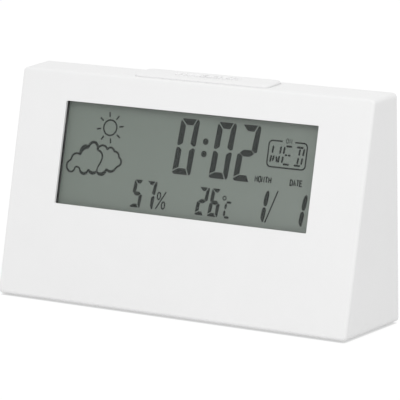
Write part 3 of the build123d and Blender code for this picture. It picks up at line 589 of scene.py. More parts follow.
def board_finish(name, mask, copper):
    """Solder mask with raised tracks under it and bare pads."""
    material, tree, place = blank(name)
    tracks = node(tree, "ShaderNodeTexBrick", {
        "Vector": place, "Scale": 1 / (9 * MM), "Mortar Size": 0.03, "Brick Width": 0.9, "Row Height": 0.16,
    }).outputs["Fac"]
    pads = ranged(tree, cells(tree, place, 4 * MM), 1.0, 0.0, 0.10, 0.12)
    tint = blended(tree, tracks, mask, shade(mask, 1.7))
    return principled(material, {
        "Base Color": blended(tree, pads, tint, copper),
        "Metallic": pads,
        "Roughness": 0.3,
        "Normal": bumped(tree, tracks, 0.03 * MM, 0.6),
    })


def wrapped_cell(name, sleeve, band, metal_colour, flat_end, nub_end):
    """Plain cell sleeve along x, with a band by the nub and bare metal at both ends."""
    material, tree, place = blank(name)
    x = node(tree, "ShaderNodeSeparateXYZ", {"Vector": place}).outputs["X"]
    ahead = math.copysign(1.0, nub_end - flat_end)
    edge = 0.05 * MM * ahead

    def past(place_x):
        """Value of 1 on the nub's side of a place, and 0 on the other side."""
        return ranged(tree, x, 0.0, 1.0, place_x - edge, place_x + edge)

    flat_edge = flat_end + FLAT_END_BARE * ahead
    before = ranged(tree, x, 1.0, 0.0, flat_edge - edge, flat_edge + edge)
    bare = maths(tree, "MAXIMUM", before, past(nub_end - NUB_END_BARE * ahead))
    scuffs = noise(tree, place, 0.8 * MM, 4.0)
    tint = blended(tree, past(nub_end - BAND_REACH * ahead), sleeve, band)
    tint = blended(tree, ranged(tree, scuffs, 0.0, 0.12, 0.4, 0.7), tint, shade(sleeve, 2.5))
    return principled(material, {
        "Base Color": blended(tree, bare, tint, metal_colour),
        "Metallic": bare,
        "Roughness": ranged(tree, scuffs, 0.25, 0.4),
    })


# Settings that a user would change


def length_setting(name, text, value):
    """Setting for a length, given in millimetres."""
    return FloatProperty(name=name, description=text, default=value * MM, unit="LENGTH")


def share_setting(name, text, value):
    """Setting between 0 and 1."""
    return FloatProperty(name=name, description=text, default=value, min=0.0, max=1.0)


def colour_setting(name, text, value):
    """Setting for a colour."""
    return FloatVectorProperty(
        name=name, description=text, subtype="COLOR", default=value, min=0.0, max=1.0
    )


def figures_setting(name, text, value):
    """Setting for figures that the display shows."""
    return StringProperty(name=name, description=text, default=value)


class ClockCaseSettings(bpy.types.PropertyGroup):
    """Colours and grain of the moulded pieces."""

    white: colour_setting("Case white", "Colour of the housing, cover, door and bar", (0.85, 0.85, 0.85))
    key_white: colour_setting("Key white", "Colour of the rear keys", (0.8, 0.8, 0.8))
    roughness: share_setting("Case roughness", "Roughness of the moulded white plastic", 0.45)


class ClockDisplaySettings(bpy.types.PropertyGroup):
    """Sizes and colours of what the display shows, and its figures."""

    # The left colour is painted darker and the right one paler: painted shade across the display's ground
    ground_left: colour_setting("Ground, left", "Colour at the display's left end", (0.150, 0.178, 0.155))
    ground_right: colour_setting(
        "Ground, right", "Colour at the display's right end", (0.175, 0.200, 0.180)
    )
    ink: colour_setting("Figures", "Colour of the driven figures and symbols", (0.006, 0.010, 0.008))
    thickness: length_setting(
        "Figure thickness", "How far the figures stand off the display's film", 0.03
    )
    time_figure_height: length_setting("Time figure height", "Height of the large time figures", 18.35)
    small_figure_height: length_setting(
        "Small figure height", "Height of the humidity and temperature figures", 9.2
    )
    sun_ray_count: IntProperty(
        name="Sun rays", description="Number of rays round the sun symbol", default=8, min=3, max=24
    )
    hour: figures_setting("Hour", "Last figure of the hour", "0")
    minutes: figures_setting("Minutes", "Two figures for the minutes", "02")
    humidity: figures_setting("Humidity", "Two figures for the humidity", "57")
    temperature: figures_setting("Temperature", "Two figures for the temperature", "26")


class ClockReliefSettings(bpy.types.PropertyGroup):
    """Words and ridges on the case, and the coils in the battery tray."""

    ridge_rise: length_setting("Ridge rise", "How far the ridges stand off the battery door", 0.2)
    print_thickness: length_setting("Print thickness", "Thickness of the ink over the rear keys", 0.03)
    print_grey: colour_setting("Print grey", "Colour of the words over the rear keys", (0.10, 0.10, 0.105))
    bar_word_size: length_setting("Bar word size", "Letter size on the top bar", 3.5)
    bar_word_rise: length_setting("Bar word rise", "How far the rounded letters rise from the bar", 0.05)
    # The letters' white is paler than the case white: a painted highlight on the raised letters
    bar_word_highlight_white: colour_setting(
        "Bar word white", "Colour of the polished letters on the top bar", (0.93, 0.93, 0.93)
    )
    key_word_size: length_setting("Key word size", "Letter size over the rear keys", 2.2)
    ridge_count: IntProperty(
        name="Door ridges", description="Number of grip ridges on the battery door", default=5, min=1
    )
    wire_radius: length_setting("Spring wire radius", "Radius of the battery springs' wire", 0.3)


class ClockStageSettings(bpy.types.PropertyGroup):
    """Floor, light and camera."""

    sky: FloatProperty(
        name="Sky strength", description="Strength of the even light from all round", default=0.848
    )
    lamp_power: FloatProperty(
        name="Lamp power", description="Power of the soft lamp", default=1.15, unit="POWER"
    )
    lamp_size: length_setting("Lamp size", "Side of the square lamp", 400)
    # Contact reach and contact shade set the painted contact shadow in the floor's glow
    contact_reach: length_setting(
        "Contact reach", "How far from a piece the floor's glow starts to fade", 0.9
    )
    contact_shade: share_setting(
        "Contact shade", "Share of the floor's glow that is left where a piece covers it", 0.45
    )
    lens: FloatProperty(
        name="Lens", description="Focal length for a sensor 36 mm wide", default=269.9, subtype="NONE"
    )


# Stage


def view_rays(tree):
    """Value of 1 on rays from the camera and on those that gloss or glass sends on."""
    ray = node(tree, "ShaderNodeLightPath").outputs
    seen = maths(tree, "MAXIMUM", ray["Is Camera Ray"], ray["Is Glossy Ray"])
    return maths(tree, "MAXIMUM", seen, ray["Is Transmission Ray"])


def white_room(sky):
    """World that lights evenly and looks white."""
    world = bpy.data.worlds.new("white_room")
    world.use_nodes = True
    tree = world.node_tree
    tree.nodes.clear()
    light = node(tree, "ShaderNodeBackground", {"Color": (1, 1, 1, 1), "Strength": sky})
    seen = node(tree, "ShaderNodeBackground", {"Color": (1, 1, 1, 1), "Strength": 1.0})
    node(tree, "ShaderNodeOutputWorld", {"Surface": mixed(tree, view_rays(tree), light, seen)})
    bpy.context.scene.world = world


def floor_finish(reach, shade_left):
    """Pale floor that looks white where it is open, keeps the object's shadow on its lit share and has a
    painted contact shadow where its glow fades near pieces.
    """
    material, tree, place = blank("pale_floor")
    tint = blended(tree, noise(tree, place, 0.4), (0.80, 0.80, 0.80), (0.82, 0.82, 0.82))
    lit = node(tree, "ShaderNodeBsdfPrincipled", {"Base Color": tint, "Roughness": 0.9})
    # Painted contact shadow: the floor's glow is dimmed by occlusion near pieces
    near = node(tree, "ShaderNodeAmbientOcclusion", {"Distance": reach}, samples=32)
    strength = ranged(tree, near.outputs["AO"], shade_left * FLOOR_GLOW, FLOOR_GLOW)
    glow = node(tree, "ShaderNodeEmission", {"Color": (1, 1, 1, 1), "Strength": strength})
    share = maths(tree, "MULTIPLY", view_rays(tree), GLOW_SHARE)
    return closed(material, mixed(tree, share, lit, glow))


class CLOCK_OT_stage(bpy.types.Operator):
    """Pale floor, even light, one soft lamp and the camera"""

    bl_idname = "clock.stage"
    bl_label = "Stage"

    def execute(self, context):
        settings = context.scene.clock_stage
        mesh = bpy.data.meshes.new("floor")
        corners = [(x * FLOOR_REACH, y * FLOOR_REACH, 0) for x, y in ((-1, -1), (1, -1), (1, 1), (-1, 1))]
        mesh.from_pydata(corners, [], [(0, 1, 2, 3)])
        mesh.materials.append(floor_finish(settings.contact_reach, settings.contact_shade))
        floor = added("floor", mesh)
        white_room(settings.sky)

        lamp = bpy.data.lights.new("soft_lamp", "AREA")
        lamp.shape = "SQUARE"
        lamp.size = settings.lamp_size
        lamp.energy = settings.lamp_power
        holder = added("soft_lamp", lamp)
        holder.location = LAMP_PLACE
        holder.rotation_euler = (-holder.location).to_track_quat("-Z", "Y").to_euler()

        lens = bpy.data.cameras.new("camera")
        lens.lens = settings.lens
        lens.sensor_width = 36.0
        lens.clip_start = 0.05
        lens.clip_end = 50.0
        camera = added("camera", lens)
        camera.location = CAMERA_PLACE
        camera.rotation_euler = (math.radians(90 - CAMERA_DOWN), 0, math.radians(CAMERA_TURN))
        context.scene.camera = camera
        context.scene.view_settings.view_transform = "Standard"
        return {"FINISHED"}


class CLOCK_OT_finishes(bpy.types.Operator):
    """Finishes of the pieces that keep their construction shape"""

    bl_idname = "clock.finishes"
    bl_label = "Finishes"

    def execute(self, context):
        case = context.scene.clock_case
        display = context.scene.clock_display
        by_slot = {
            "case_white": moulded("case_white_finish", tuple(case.white), case.roughness),
            "key_plastic": moulded("key_finish", tuple(case.key_white), 0.38),
            "clear_window": clear_pane("clear_window_finish", (0.985, 0.99, 0.985), 1.33),
            "black_foam": foam("black_foam_finish", (0.04, 0.04, 0.04)),
            "polarizer_film": display_ground(
                "display_ground", tuple(display.ground_left), tuple(display.ground_right)
            ),
            "display_glass": clear_pane("display_glass_finish", (0.93, 0.96, 0.93), 1.5),
            "light_guide": moulded("light_guide_finish", (0.8, 0.82, 0.8), 0.2, 1.0 * MM, 0.05 * MM),
            "lamp_housing": moulded("lamp_finish", (0.86, 0.84, 0.62), 0.25),
            "holder_plastic": moulded("holder_finish", (0.72, 0.72, 0.69), 0.5),
            "zebra_rubber": layered("zebra_finish", (0.02, 0.02, 0.02), (0.55, 0.3, 0.26), 0.1 * MM),
            "circuit_board": board_finish("board_finish", (0.02, 0.13, 0.05), (0.75, 0.6, 0.3)),
            "chip_resin": moulded("resin_finish", (0.012, 0.012, 0.013), 0.2, 1.5 * MM, 0.05 * MM, 0.2),
            "capacitor_sleeve": moulded("capacitor_finish", (0.015, 0.02, 0.05), 0.3, mottle=0.2),
            "tinned_steel": metal("tinned_finish", (0.74, 0.74, 0.72), 0.25, (1, 1, 8)),
            "screw_steel": metal("screw_finish", (0.62, 0.62, 0.6), 0.35, scratch=0.15 * MM),
            "switch_plastic": moulded("switch_finish", (0.02, 0.02, 0.02), 0.5, mottle=0.2),
            "plunger_plastic": moulded("plunger_finish", (0.05, 0.05, 0.05), 0.45, mottle=0.2),
            "sounder_brass": metal("brass_finish", (0.72, 0.5, 0.2), 0.3, (8, 1, 1)),
            "sounder_ceramic": metal("silvered_finish", (0.75, 0.75, 0.74), 0.55),
            "red_insulation": moulded("red_lead_finish", (0.42, 0.01, 0.01), 0.35, mottle=0.1),
            "black_insulation": moulded("black_lead_finish", (0.012, 0.012, 0.012), 0.35, mottle=0.2),
            "grey_insulation": moulded("grey_lead_finish", (0.25, 0.25, 0.26), 0.4, mottle=0.1),
            "foot_rubber": moulded("foot_finish", (0.68, 0.68, 0.67), 0.6, 0.15 * MM, 0.01 * MM, 0.05),
        }
        for part in frame["record"]["subparts"]:
            made = frame["nodes"][part["node"]]
            if part["material_slot"] in by_slot:
                made.data.materials[0] = by_slot[part["material_slot"]]

        # The upper cell's nub is at its right end, seen from the front, and the lower cell's at its left
        for which, flat_end, nub_end in (("upper", 0, 1), ("lower", 1, 0)):
            ends = [corner.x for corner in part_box("battery_" + which)]
            frame["nodes"]["battery_" + which].data.materials[0] = wrapped_cell(
                which + "_cell_finish", (0.02, 0.022, 0.026), (0.45, 0.28, 0.06), (0.72, 0.72, 0.7),
                ends[flat_end], ends[nub_end],
            )
        return {"FINISHED"}


# What the display shows, with its places and sizes in millimetres


def display_ink():
    """The one dark finish of all figures and symbols."""
    found = bpy.data.materials.get("display_ink")
    return found or dark_ink("display_ink", tuple(bpy.context.scene.clock_display.ink))


def show(name, mesh):
    """Piece of the display, in its dark finish."""
    return piece(name, mesh, "case", display_ink(), "display_glass")


def segment_outline(letter, width, height, stroke, bar, gap, rounding):
    """Outline of one segment of an upright figure, x to the right and y down."""
    far = width - stroke
    middle = height / 2
    half = gap / 2
    # Where the cut beside each bar's end leaves the figure's outer edge
    top_cut = far + stroke * 0.45
    low_cut = far + stroke * 0.55
    side_cut = height - bar * 0.5
    chamfer = rounding * 0.5

    def bend(x, y, side_x, side_y, reach, rise):
        """Places round an outer corner, from its level edge to its upright edge."""
        turns = [math.pi / 2 * step / 5 for step in range(6)]
        return [
            (x - side_x * reach * (1 - math.sin(turn)), y - side_y * rise * (1 - math.cos(turn)))
            for turn in turns
        ]

    def upright_end(outer, inner, away):
        """Blunt point of an upright segment beside the figure's middle, from its outer edge."""
        lean = inner - outer
        return [
            (outer, middle + away * stroke * 0.3),
            (outer + lean * 0.2, middle + away * stroke * 0.16),
            (outer + lean * 0.5, middle + away * stroke * 0.16),
            (inner, middle + away * stroke * 0.56),
        ]

    if letter == "a":
        return [
            (chamfer * 0.9, 0.0), (top_cut - half, 0.0), (far - half, bar),
            (stroke + half * 1.2, bar), (chamfer * 0.85, chamfer * 0.4),
        ]
    if letter == "b":
        corner = bend(width, 0.0, 1, -1, width - top_cut - half, rounding)
        return [(far + half, bar * 1.02), (top_cut + half, 0.0)] + corner + upright_end(width, far, -1)
    if letter == "c":
        corner = bend(width, height, 1, 1, width - low_cut - half, rounding * 0.7)
        return [(far + half, height - bar), (low_cut + half, height)] + corner + upright_end(width, far, 1)
    if letter == "d":
        corner = bend(0.0, height, -1, 1, rounding * 0.9, height - side_cut - half)
        return [(low_cut - half, height), (far - half, height - bar), (stroke, height - bar)] + corner[::-1]
    if letter == "e":
        low_end = [(stroke, height - bar - half * 1.6), (0.0, side_cut - half * 1.2)]
        return low_end + upright_end(0.0, stroke, 1)
    if letter == "f":
        top_end = [(stroke, bar + half * 1.4), (chamfer * 0.54, chamfer * 0.95), (0.0, chamfer * 1.5)]
        return top_end + upright_end(0.0, stroke, -1)
    left, right, rise = stroke * 0.38, width - stroke * 0.46, bar * 0.54
    return [
        (left, middle), (left + stroke * 0.64, middle - rise), (right - stroke * 0.6, middle - rise),
        (right, middle), (right - stroke * 0.68, middle + rise), (left + stroke * 0.7, middle + rise),
    ]


def add_figures(plates, figures, lefts, top, height, slant, **shape):
    """Adds a row of figures with their upright left edges at these places; their tops lean right."""
    for figure, left in zip(figures, lefts):
        for letter in FIGURE_SEGMENTS[int(figure)]:
            outline = segment_outline(letter, height=height, **shape)
            plates.outline([(left + x + slant * (1 - y / height), top + y) for x, y in outline])


def add_letters(plates, words, left, top, width, height, pitch, stroke):
    """Adds a row of small printed capitals whose stroke middles fill the given boxes."""
    for index, letter in enumerate(words):
        for closed_line, line in LETTER_STROKES[letter]:
            places = [(left + pitch * index + x * width, top + y * height) for x, y in line]
            plates.strip(places, [stroke] * len(places), closed_line)


def add_ring(plates, x, y, half_width, half_height, stroke, steps):
    """Adds a ring of one width."""
    plates.strip(ring_line(x, y, half_width, half_height, steps), [stroke] * steps, closed=True)


def add_bar(plates, start, end, width, taper=0.5):
    """Adds a straight bar with blunt pointed ends; taper is the point's share of the width."""
    along = Vector((end[0] - start[0], end[1] - start[1]))
    length = along.length
    along.normalize()
    across = Vector((-along.y, along.x))
    point = min(width * taper, length / 2)
    half = width / 2
    blunt = half * 0.4
    outline = []
    for travel, side in (
        (0, -blunt), (point, -half), (length - point, -half), (length, -blunt),
        (length, blunt), (length - point, half), (point, half), (0, blunt),
    ):
        place = Vector(start) + along * travel + across * side
        outline.append((place.x, place.y))
    plates.outline(outline)


class CLOCK_OT_time(bpy.types.Operator):
    """Large figures of the time with their colon"""

    bl_idname = "clock.time"
    bl_label = "Time"

    def execute(self, context):
        settings = context.scene.clock_display
        plates = Plates(window, settings.thickness)
        add_figures(
            plates, settings.hour + settings.minutes, (42.8, 56.8, 65.95), top=1.85,
            height=settings.time_figure_height / MM, slant=1.4, width=7.1, stroke=2.1, bar=2.05,
            gap=0.42, rounding=1.3,
        )
        dot_radius = 1.06
        for x, y in ((54.25, 8.7), (54.1, 12.75)):
            plates.outline(ring_line(x, y, dot_radius, dot_radius, 28))
        show("time_figures", plates.mesh("time_figures"))
        return {"FINISHED"}


class CLOCK_OT_climate(bpy.types.Operator):
    """Humidity and temperature figures with their signs"""

    bl_idname = "clock.climate"
    bl_label = "Climate"

    def execute(self, context):
        settings = context.scene.clock_display
        plates = Plates(window, settings.thickness)
        add_figures(
            plates, settings.humidity + settings.temperature, (28.15, 33.05, 53.15, 57.95), top=23.4,
            height=settings.small_figure_height / MM, slant=1.0, width=3.9, stroke=1.3, bar=1.25,
            gap=0.34, rounding=0.6,
        )

        # Per cent sign
        for x, y in ((39.0, 27.95), (40.95, 30.9)):
            add_ring(plates, x, y, 0.6, 1.15, 0.5, 28)
        add_bar(plates, (41.6, 26.4), (38.2, 32.3), 0.48, 0.1)

        # Degree ring and the C in four bars
        add_ring(plates, 63.8, 26.15, 0.58, 0.62, 0.38, 24)
        for start, end in (
            ((64.75, 27.42), (66.55, 27.42)), ((64.68, 27.8), (64.5, 29.65)),
            ((64.42, 30.15), (64.25, 32.0)), ((64.4, 32.3), (66.2, 32.3)),
        ):
            add_bar(plates, start, end, 0.8)
        show("climate_figures", plates.mesh("climate_figures"))
        return {"FINISHED"}


class CLOCK_OT_calendar(bpy.types.Operator):
    """Weekday in its frame, captions, month and date"""

    bl_idname = "clock.calendar"
    bl_label = "Calendar"

    def execute(self, context):
        plates = Plates(window, context.scene.clock_display.thickness)

        left, right, top, bottom, bend = 77.85, 91.95, 6.0, 14.45, 1.35
        gap_left, gap_right = 82.75, 87.35
        corners = rounded(left, right, top, bottom, bend, 6)
        frame_line = [(gap_right, top)] + corners + [(gap_left, top)]
        plates.strip(frame_line, [0.5] * len(frame_line))

        for start, end in (
            # W
            ((79.62, 7.6), (79.4, 10.05)), ((82.47, 7.6), (82.22, 10.05)),
            ((79.2, 10.7), (78.93, 12.95)), ((82.12, 10.7), (81.88, 12.95)),
            ((80.2, 10.75), (79.78, 12.6)), ((81.05, 10.95), (81.38, 12.85)),
            # E
            ((83.8, 7.7), (83.55, 10.0)), ((83.5, 10.75), (83.28, 12.9)),
            ((84.2, 7.45), (86.5, 7.45)), ((84.05, 10.32), (85.0, 10.32)), ((85.2, 10.32), (86.2, 10.32)),
            ((83.7, 13.27), (86.0, 13.27)),
            # D
            ((88.1, 7.45), (90.65, 7.45)), ((89.45, 7.95), (89.22, 10.05)), ((90.98, 7.75), (90.7, 10.05)),
            ((89.15, 10.7), (88.93, 12.8)), ((90.62, 10.7), (90.35, 12.85)), ((87.7, 13.27), (90.1, 13.27)),
        ):
            add_bar(plates, start, end, 0.66)

        for words, left, top, width, height, pitch, stroke in (
            ("MONTH", 74.25, 17.95, 0.84, 1.75, 1.26, 0.43),
            ("DATE", 87.25, 17.95, 0.80, 1.75, 1.16, 0.43),
            ("ON", 84.1, 5.05, 0.75, 1.4, 1.25, 0.24),
        ):
            add_letters(plates, words, left, top, width, height, pitch, stroke)

        # The month's and the date's figure one, each in two leaves with a pointed outer end
        date_offset = 14.05
        for offset in (0.0, date_offset):
            for leaf in (
                (
                    (79.6, 22.1), (80.02, 22.5), (80.2, 23.5), (79.9, 26.2), (79.5, 27.2),
                    (78.75, 27.2), (78.35, 26.4), (78.5, 24.3), (79.0, 22.7),
                ),
                (
                    (78.45, 27.65), (79.2, 27.6), (79.65, 28.4), (79.4, 30.6), (79.05, 32.35),
                    (78.55, 32.35), (77.9, 31.1), (77.9, 30.0), (78.15, 28.3),
                ),
            ):
                plates.outline([(offset + x, y) for x, y in leaf])
        add_bar(plates, (83.2, 21.9), (79.65, 32.45), 0.48, 0.1)
        show("calendar_figures", plates.mesh("calendar_figures"))
        return {"FINISHED"}


def sun_rays_tree(material):
    """Rays set evenly round a centre, each a thin flat bar that points outwards."""
    tree, given, close = shape_tree("sun_rays", {
        "Count": 8, "Middle Radius": 4.4 * MM, "Length": 1.65 * MM, "Width": 0.56 * MM,
        "Thickness": 0.03 * MM,
    }, material)
    values = {"Vertices": given["Count"], "Radius": given["Middle Radius"]}
    circle = node(tree, "GeometryNodeMeshCircle", values)
    size = vector(tree, X=given["Length"], Y=given["Width"], Z=given["Thickness"])
    ray = node(tree, "GeometryNodeMeshCube", {"Size": size})
    step = maths(tree, "DIVIDE", math.tau, given["Count"])
    angle = maths(tree, "MULTIPLY", node(tree, "GeometryNodeInputIndex").outputs[0], step)
    turn = vector(tree, Z=angle)
    values = {"Points": circle.outputs[0], "Instance": ray.outputs[0], "Rotation": turn}
    close(node(tree, "GeometryNodeInstanceOnPoints", values).outputs[0])
    return tree


class CLOCK_OT_weather(bpy.types.Operator):
    """Sun and two clouds"""

    bl_idname = "clock.weather"
    bl_label = "Weather"

    def execute(self, context):
        settings = context.scene.clock_display
        sun_x, sun_y, sun_radius, line_width = 17.05, 7.45, 2.55, 0.56
        values = {"Count": settings.sun_ray_count, "Thickness": settings.thickness}
        rays = grown(sun_rays_tree(display_ink()), values)
        rays.transform(Matrix.Rotation(math.radians(RAY_TURN), 4, "Z"))
        laid(rays, window, sun_x * MM, sun_y * MM, settings.thickness / 2)

        plates = Plates(window, settings.thickness)
        add_ring(plates, sun_x, sun_y, sun_radius, sun_radius, line_width, 64)

        thin, bold, heavy = 0.62, 1.0, 1.3
        for start, middle, end, first_width, middle_width in (
            # Near cloud, from the notch above its left lobe round by the foot
            ((6.5, 17.4), (4.3, 17.25), (3.2, 19.4), thin, 0.7),
            ((3.2, 19.4), (1.65, 21.4), (3.4, 23.35), thin, 0.7),
            ((3.4, 23.35), (4.4, 23.05), (4.95, 21.85), thin, thin),
            ((4.95, 21.85), (5.9, 21.5), (6.95, 22.15), thin, thin),
            ((6.95, 22.15), (8.7, 23.5), (10.35, 21.95), thin, bold),
            ((10.4, 21.85), (12.1, 23.0), (13.7, 22.25), thin, 1.15),
            ((13.75, 22.2), (13.9, 21.2), (14.15, 20.4), thin, 0.5),
            ((14.15, 20.4), (14.85, 19.2), (15.3, 17.7), thin, thin),
            ((15.3, 17.7), (14.85, 16.1), (13.25, 15.35), thin, 0.7),
            ((13.25, 15.35), (13.1, 14.9), (13.1, 14.4), 0.7, 0.8),
            ((13.1, 14.4), (11.35, 12.8), (9.6, 14.7), 0.8, bold),
            # Far cloud
            ((13.2, 14.75), (15.0, 13.5), (16.95, 14.8), 0.7, 0.7),
            ((16.95, 14.8), (18.45, 13.95), (19.65, 15.2), thin, 0.7),
            ((19.65, 15.2), (21.05, 15.4), (21.75, 16.95), thin, 0.7),
            ((21.75, 16.95), (22.85, 18.15), (21.9, 19.8), thin, 0.7),
            ((21.9, 19.8), (21.25, 20.3), (20.8, 20.9), thin, 0.7),
            ((20.8, 20.9), (19.1, 21.85), (17.35, 21.1), 0.7, 0.9),
            ((17.35, 21.1), (16.0, 22.95), (13.8, 22.4), thin, heavy),
        ):
            swell = middle_width - first_width
            widths = [
                first_width + swell * math.sin(math.pi * step / ARC_STEPS) for step in range(ARC_STEPS + 1)
            ]
            plates.strip(arc_through(start, middle, end, ARC_STEPS), widths)
        shaded = arc_through((6.2, 17.5), (6.4, 15.1), (7.8, 13.8), 8)
        shaded += arc_through((7.8, 13.8), (8.8, 13.85), (9.55, 14.4), 6)
        shaded += arc_through((9.6, 15.15), (8.1, 15.6), (6.95, 17.5), 10)
        plates.outline(shaded)
        show("weather_symbols", joined("weather_symbols", [rays, plates.mesh("clouds")]))
        return {"FINISHED"}


# Reliefs, printed words, ridges and springs


class CLOCK_OT_bar_relief(bpy.types.Operator):
    """Raised words on the top bar"""

    bl_idname = "clock.bar_relief"
    bl_label = "Bar relief"

    def execute(self, context):
        settings = context.scene.clock_relief
        low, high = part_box("snooze_bar")
        level = [face for face in frame["nodes"]["snooze_bar"].data.polygons if face.normal.z > FACING]
        top = max((face for face in level if face.area > BAR_FACE_AREA), key=lambda face: face.center.z)
        origin = (low + high) / 2
        origin.z = top.center.z - (origin.y - top.center.y) * top.normal.y / top.normal.z
        sheet = Sheet(origin, Vector((1, 0, 0)), top.normal)
        rounding = 3 * settings.bar_word_rise
        words = words_mesh(
            "bar_words", "SNOOZE/LIGHT", settings.bar_word_size, thickness=0.02 * MM,
            boldness=-rounding * 0.6, squeeze=0.87, bevel=rounding, spacing=1.15,
        )
        laid(words, sheet, 0, -0.3 * MM, settings.bar_word_rise - rounding)
        # The letters' paler white is a painted highlight; their lower roughness is their polish
        polished_highlight = moulded("polished_highlight_white_finish", tuple(settings.bar_word_highlight_white), 0.2)
        piece("bar_words", words, "snooze", polished_highlight, "case_white")
        return {"FINISHED"}


class CLOCK_OT_key_words(bpy.types.Operator):
    """Printed words over the rear keys"""

    bl_idname = "clock.key_words"
    bl_label = "Key words"

    def execute(self, context):
        settings = context.scene.clock_relief
        meshes = []
        for key, words, growth in (
            ("mode_key", "MODE", 1.0),
            ("alarm_key", "ALARM", 1.0),
            ("up_key", "+", 1.6),
            ("down_key", "-", 1.6),
            ("units_key", "°C/°F", 1.0),
        ):
            x, y = rear_place(key)
            mesh = words_mesh(key, words, settings.key_word_size * growth, settings.print_thickness)
            meshes.append(laid(mesh, rear, x, y - KEY_WORD_LIFT, 0.0))
        ink = dark_ink("label_print_finish", tuple(settings.print_grey))
        piece("key_words", joined("key_words", meshes), "case", ink, "switch_plastic")
        return {"FINISHED"}


def round_rod(tree, line, radius, resolution):
    """Smooth closed rod along a curve."""
    profile = node(tree, "GeometryNodeCurvePrimitiveCircle", {"Resolution": resolution, "Radius": radius})
    values = {"Curve": line.outputs[0], "Profile Curve": profile.outputs[0], "Fill Caps": True}
    return node(tree, "GeometryNodeCurveToMesh", values).outputs[0]


def smoothed(tree, geometry):
    """The same geometry, shaded smooth."""
    return node(tree, "GeometryNodeSetShadeSmooth", {"Geometry": geometry}).outputs[0]


def ridges_tree(material):
    """Parallel half-round ridges with closed ends, one above the other."""
    tree, given, close = shape_tree("grip_ridges", {
        "Count": 5, "Pitch": 1.1 * MM, "Length": 14 * MM, "Radius": 0.3 * MM,
    }, material)
    half = maths(tree, "MULTIPLY", given["Length"], 0.5)
    ends = {"Start": vector(tree, X=maths(tree, "MULTIPLY", half, -1.0)), "End": vector(tree, X=half)}
    line = node(tree, "GeometryNodeCurvePrimitiveLine", ends)
    ridge = round_rod(tree, line, given["Radius"], 12)
    step = vector(tree, Y=given["Pitch"])
    places = node(tree, "GeometryNodeMeshLine", {"Count": given["Count"], "Offset": step})
    values = {"Points": places.outputs[0], "Instance": ridge}
    close(smoothed(tree, node(tree, "GeometryNodeInstanceOnPoints", values).outputs[0]))
    return tree


class CLOCK_OT_door_ridges(bpy.types.Operator):
    """Grip ridges under the battery door's finger scoop"""

    bl_idname = "clock.door_ridges"
    bl_label = "Door ridges"

    def execute(self, context):
        settings = context.scene.clock_relief
        white = bpy.data.materials["case_white_finish"]
        pitch, radius, below_edge = 1.1 * MM, 0.35 * MM, 2.0 * MM
        values = {"Count": settings.ridge_count, "Pitch": pitch, "Radius": radius}
        mesh = grown(ridges_tree(white), values)
        top = (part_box("battery_door")[1] - rear.origin).dot(rear.down)
        for vertex in mesh.vertices:
            vertex.co.y -= pitch * settings.ridge_count
        laid(mesh, rear, 0, top + below_edge, settings.ridge_rise - radius)
        piece("door_ridges", mesh, "door", white, "case_white")
        return {"FINISHED"}


def spring_tree(material):
    """Conical coil of round wire."""
    tree, given, close = shape_tree("battery_spring", {
        "Turns": 3.5, "Base Radius": 3.2 * MM, "End Radius": 1.8 * MM, "Length": 3.6 * MM,
        "Wire Radius": 0.3 * MM,
    }, material)
    coil = node(tree, "GeometryNodeCurveSpiral", {
        "Resolution": 28, "Rotations": given["Turns"], "Start Radius": given["Base Radius"],
        "End Radius": given["End Radius"], "Height": given["Length"],
    })
    close(smoothed(tree, round_rod(tree, coil, given["Wire Radius"], 10)))
    return tree


def contact_plate(name, sheet, width, height, thickness, bend):
    """Metal plate with rounded corners, its middle on the sheet's origin; sides in millimetres."""
    plates = Plates(sheet, thickness)
    steps = 4
    corners = rounded(-width / 2, width / 2, -height / 2, height / 2, bend, steps)
    # The outline starts at its lower right corner
    plates.outline(corners[steps + 1:] + corners[:steps + 1])
    return plates.mesh(name)


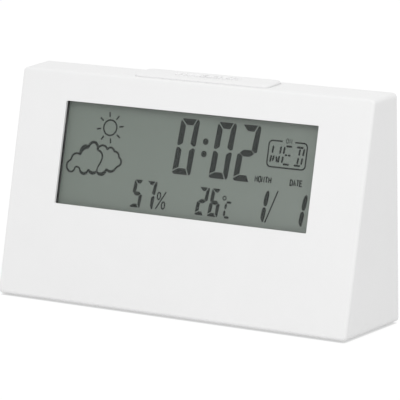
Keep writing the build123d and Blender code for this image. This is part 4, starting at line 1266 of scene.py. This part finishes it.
class CLOCK_OT_springs(bpy.types.Operator):
    """Wound springs and their plates in place of the plain cones in the battery tray"""

    bl_idname = "clock.springs"
    bl_label = "Battery springs"

    def execute(self, context):
        steel = bpy.data.materials["tinned_finish"]
        tree = spring_tree(steel)
        wire = context.scene.clock_relief.wire_radius
        thickness, plate_width, plate_bend, dimple_radius = 0.4 * MM, 8.0, 0.8, 2.1
        dimple_rise = 0.45 * MM
        up = Vector((0, -rear.outward.z, rear.outward.y))
        low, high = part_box("battery_bridge_contact")
        upper_low, upper_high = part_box("battery_upper")
        lower_low, lower_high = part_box("battery_lower")
        upper_axis, lower_axis = (upper_low + upper_high) / 2, (lower_low + lower_high) / 2
        for name, node_name, side, axis, middle, cell_end, plate_height in (
            ("bridge_spring", "battery_bridge_contact", 1, upper_axis, (low + high) / 2, upper_low.x, 19.0),
            ("end_spring", "battery_negative_contact", -1, lower_axis, lower_axis, lower_high.x, 8.0),
        ):
            # Both springs stand on the ends of the tray, which lie as far to the left as to the right
            face_x = low.x * side
            inward = Vector((side, 0, 0))
            across = up.cross(inward)
            length = abs(cell_end - face_x) - thickness - 2 * wire
            coil = grown(tree, {"Wire Radius": wire, "Length": length})
            laid(coil, Sheet(Vector((face_x, axis.y, axis.z)), across, inward), 0, 0, thickness + wire)
            sheet = Sheet(Vector((face_x, middle.y, middle.z)), across, inward)
            meshes = [coil, contact_plate(name, sheet, plate_width, plate_height, thickness, plate_bend)]
            if side > 0:
                nub = Vector((face_x + thickness, lower_axis.y, lower_axis.z))
                dimple = Plates(Sheet(nub, sheet.right, sheet.outward), dimple_rise)
                dimple.outline(ring_line(0, 0, dimple_radius, dimple_radius, 32))
                meshes.append(dimple.mesh("dimple"))
            piece(name, joined(name, meshes), "case", steel, "tinned_steel", node_name)
        return {"FINISHED"}


class CLOCK_PT_panel(bpy.types.Panel):
    """Steps that dress the clock"""

    bl_label = "Clock"
    bl_idname = "CLOCK_PT_panel"
    bl_space_type = "VIEW_3D"
    bl_region_type = "UI"
    bl_category = "Clock"

    def draw(self, context):
        for step in STEPS:
            self.layout.operator(step.bl_idname)
        for group in ("clock_case", "clock_display", "clock_relief", "clock_stage"):
            settings = getattr(context.scene, group)
            box = self.layout.box()
            for key in settings.__annotations__:
                box.prop(settings, key)


SETTINGS = {
    "clock_case": ClockCaseSettings,
    "clock_display": ClockDisplaySettings,
    "clock_relief": ClockReliefSettings,
    "clock_stage": ClockStageSettings,
}
STEPS = (
    CLOCK_OT_stage,
    CLOCK_OT_finishes,
    CLOCK_OT_time,
    CLOCK_OT_climate,
    CLOCK_OT_calendar,
    CLOCK_OT_weather,
    CLOCK_OT_bar_relief,
    CLOCK_OT_key_words,
    CLOCK_OT_door_ridges,
    CLOCK_OT_springs,
)


def register():
    for group in (*SETTINGS.values(), *STEPS, CLOCK_PT_panel):
        bpy.utils.register_class(group)
    for name, group in SETTINGS.items():
        setattr(bpy.types.Scene, name, PointerProperty(type=group))


def unregister():
    for name in SETTINGS:
        delattr(bpy.types.Scene, name)
    for group in reversed((*SETTINGS.values(), *STEPS, CLOCK_PT_panel)):
        bpy.utils.unregister_class(group)


def main():
    """Registers the add-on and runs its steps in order."""
    register()
    bpy.ops.clock.stage()
    bpy.ops.clock.finishes()
    bpy.ops.clock.time()
    bpy.ops.clock.climate()
    bpy.ops.clock.calendar()
    bpy.ops.clock.weather()
    bpy.ops.clock.bar_relief()
    bpy.ops.clock.key_words()
    bpy.ops.clock.door_ridges()
    bpy.ops.clock.springs()


if __name__ == "__main__":
    main()
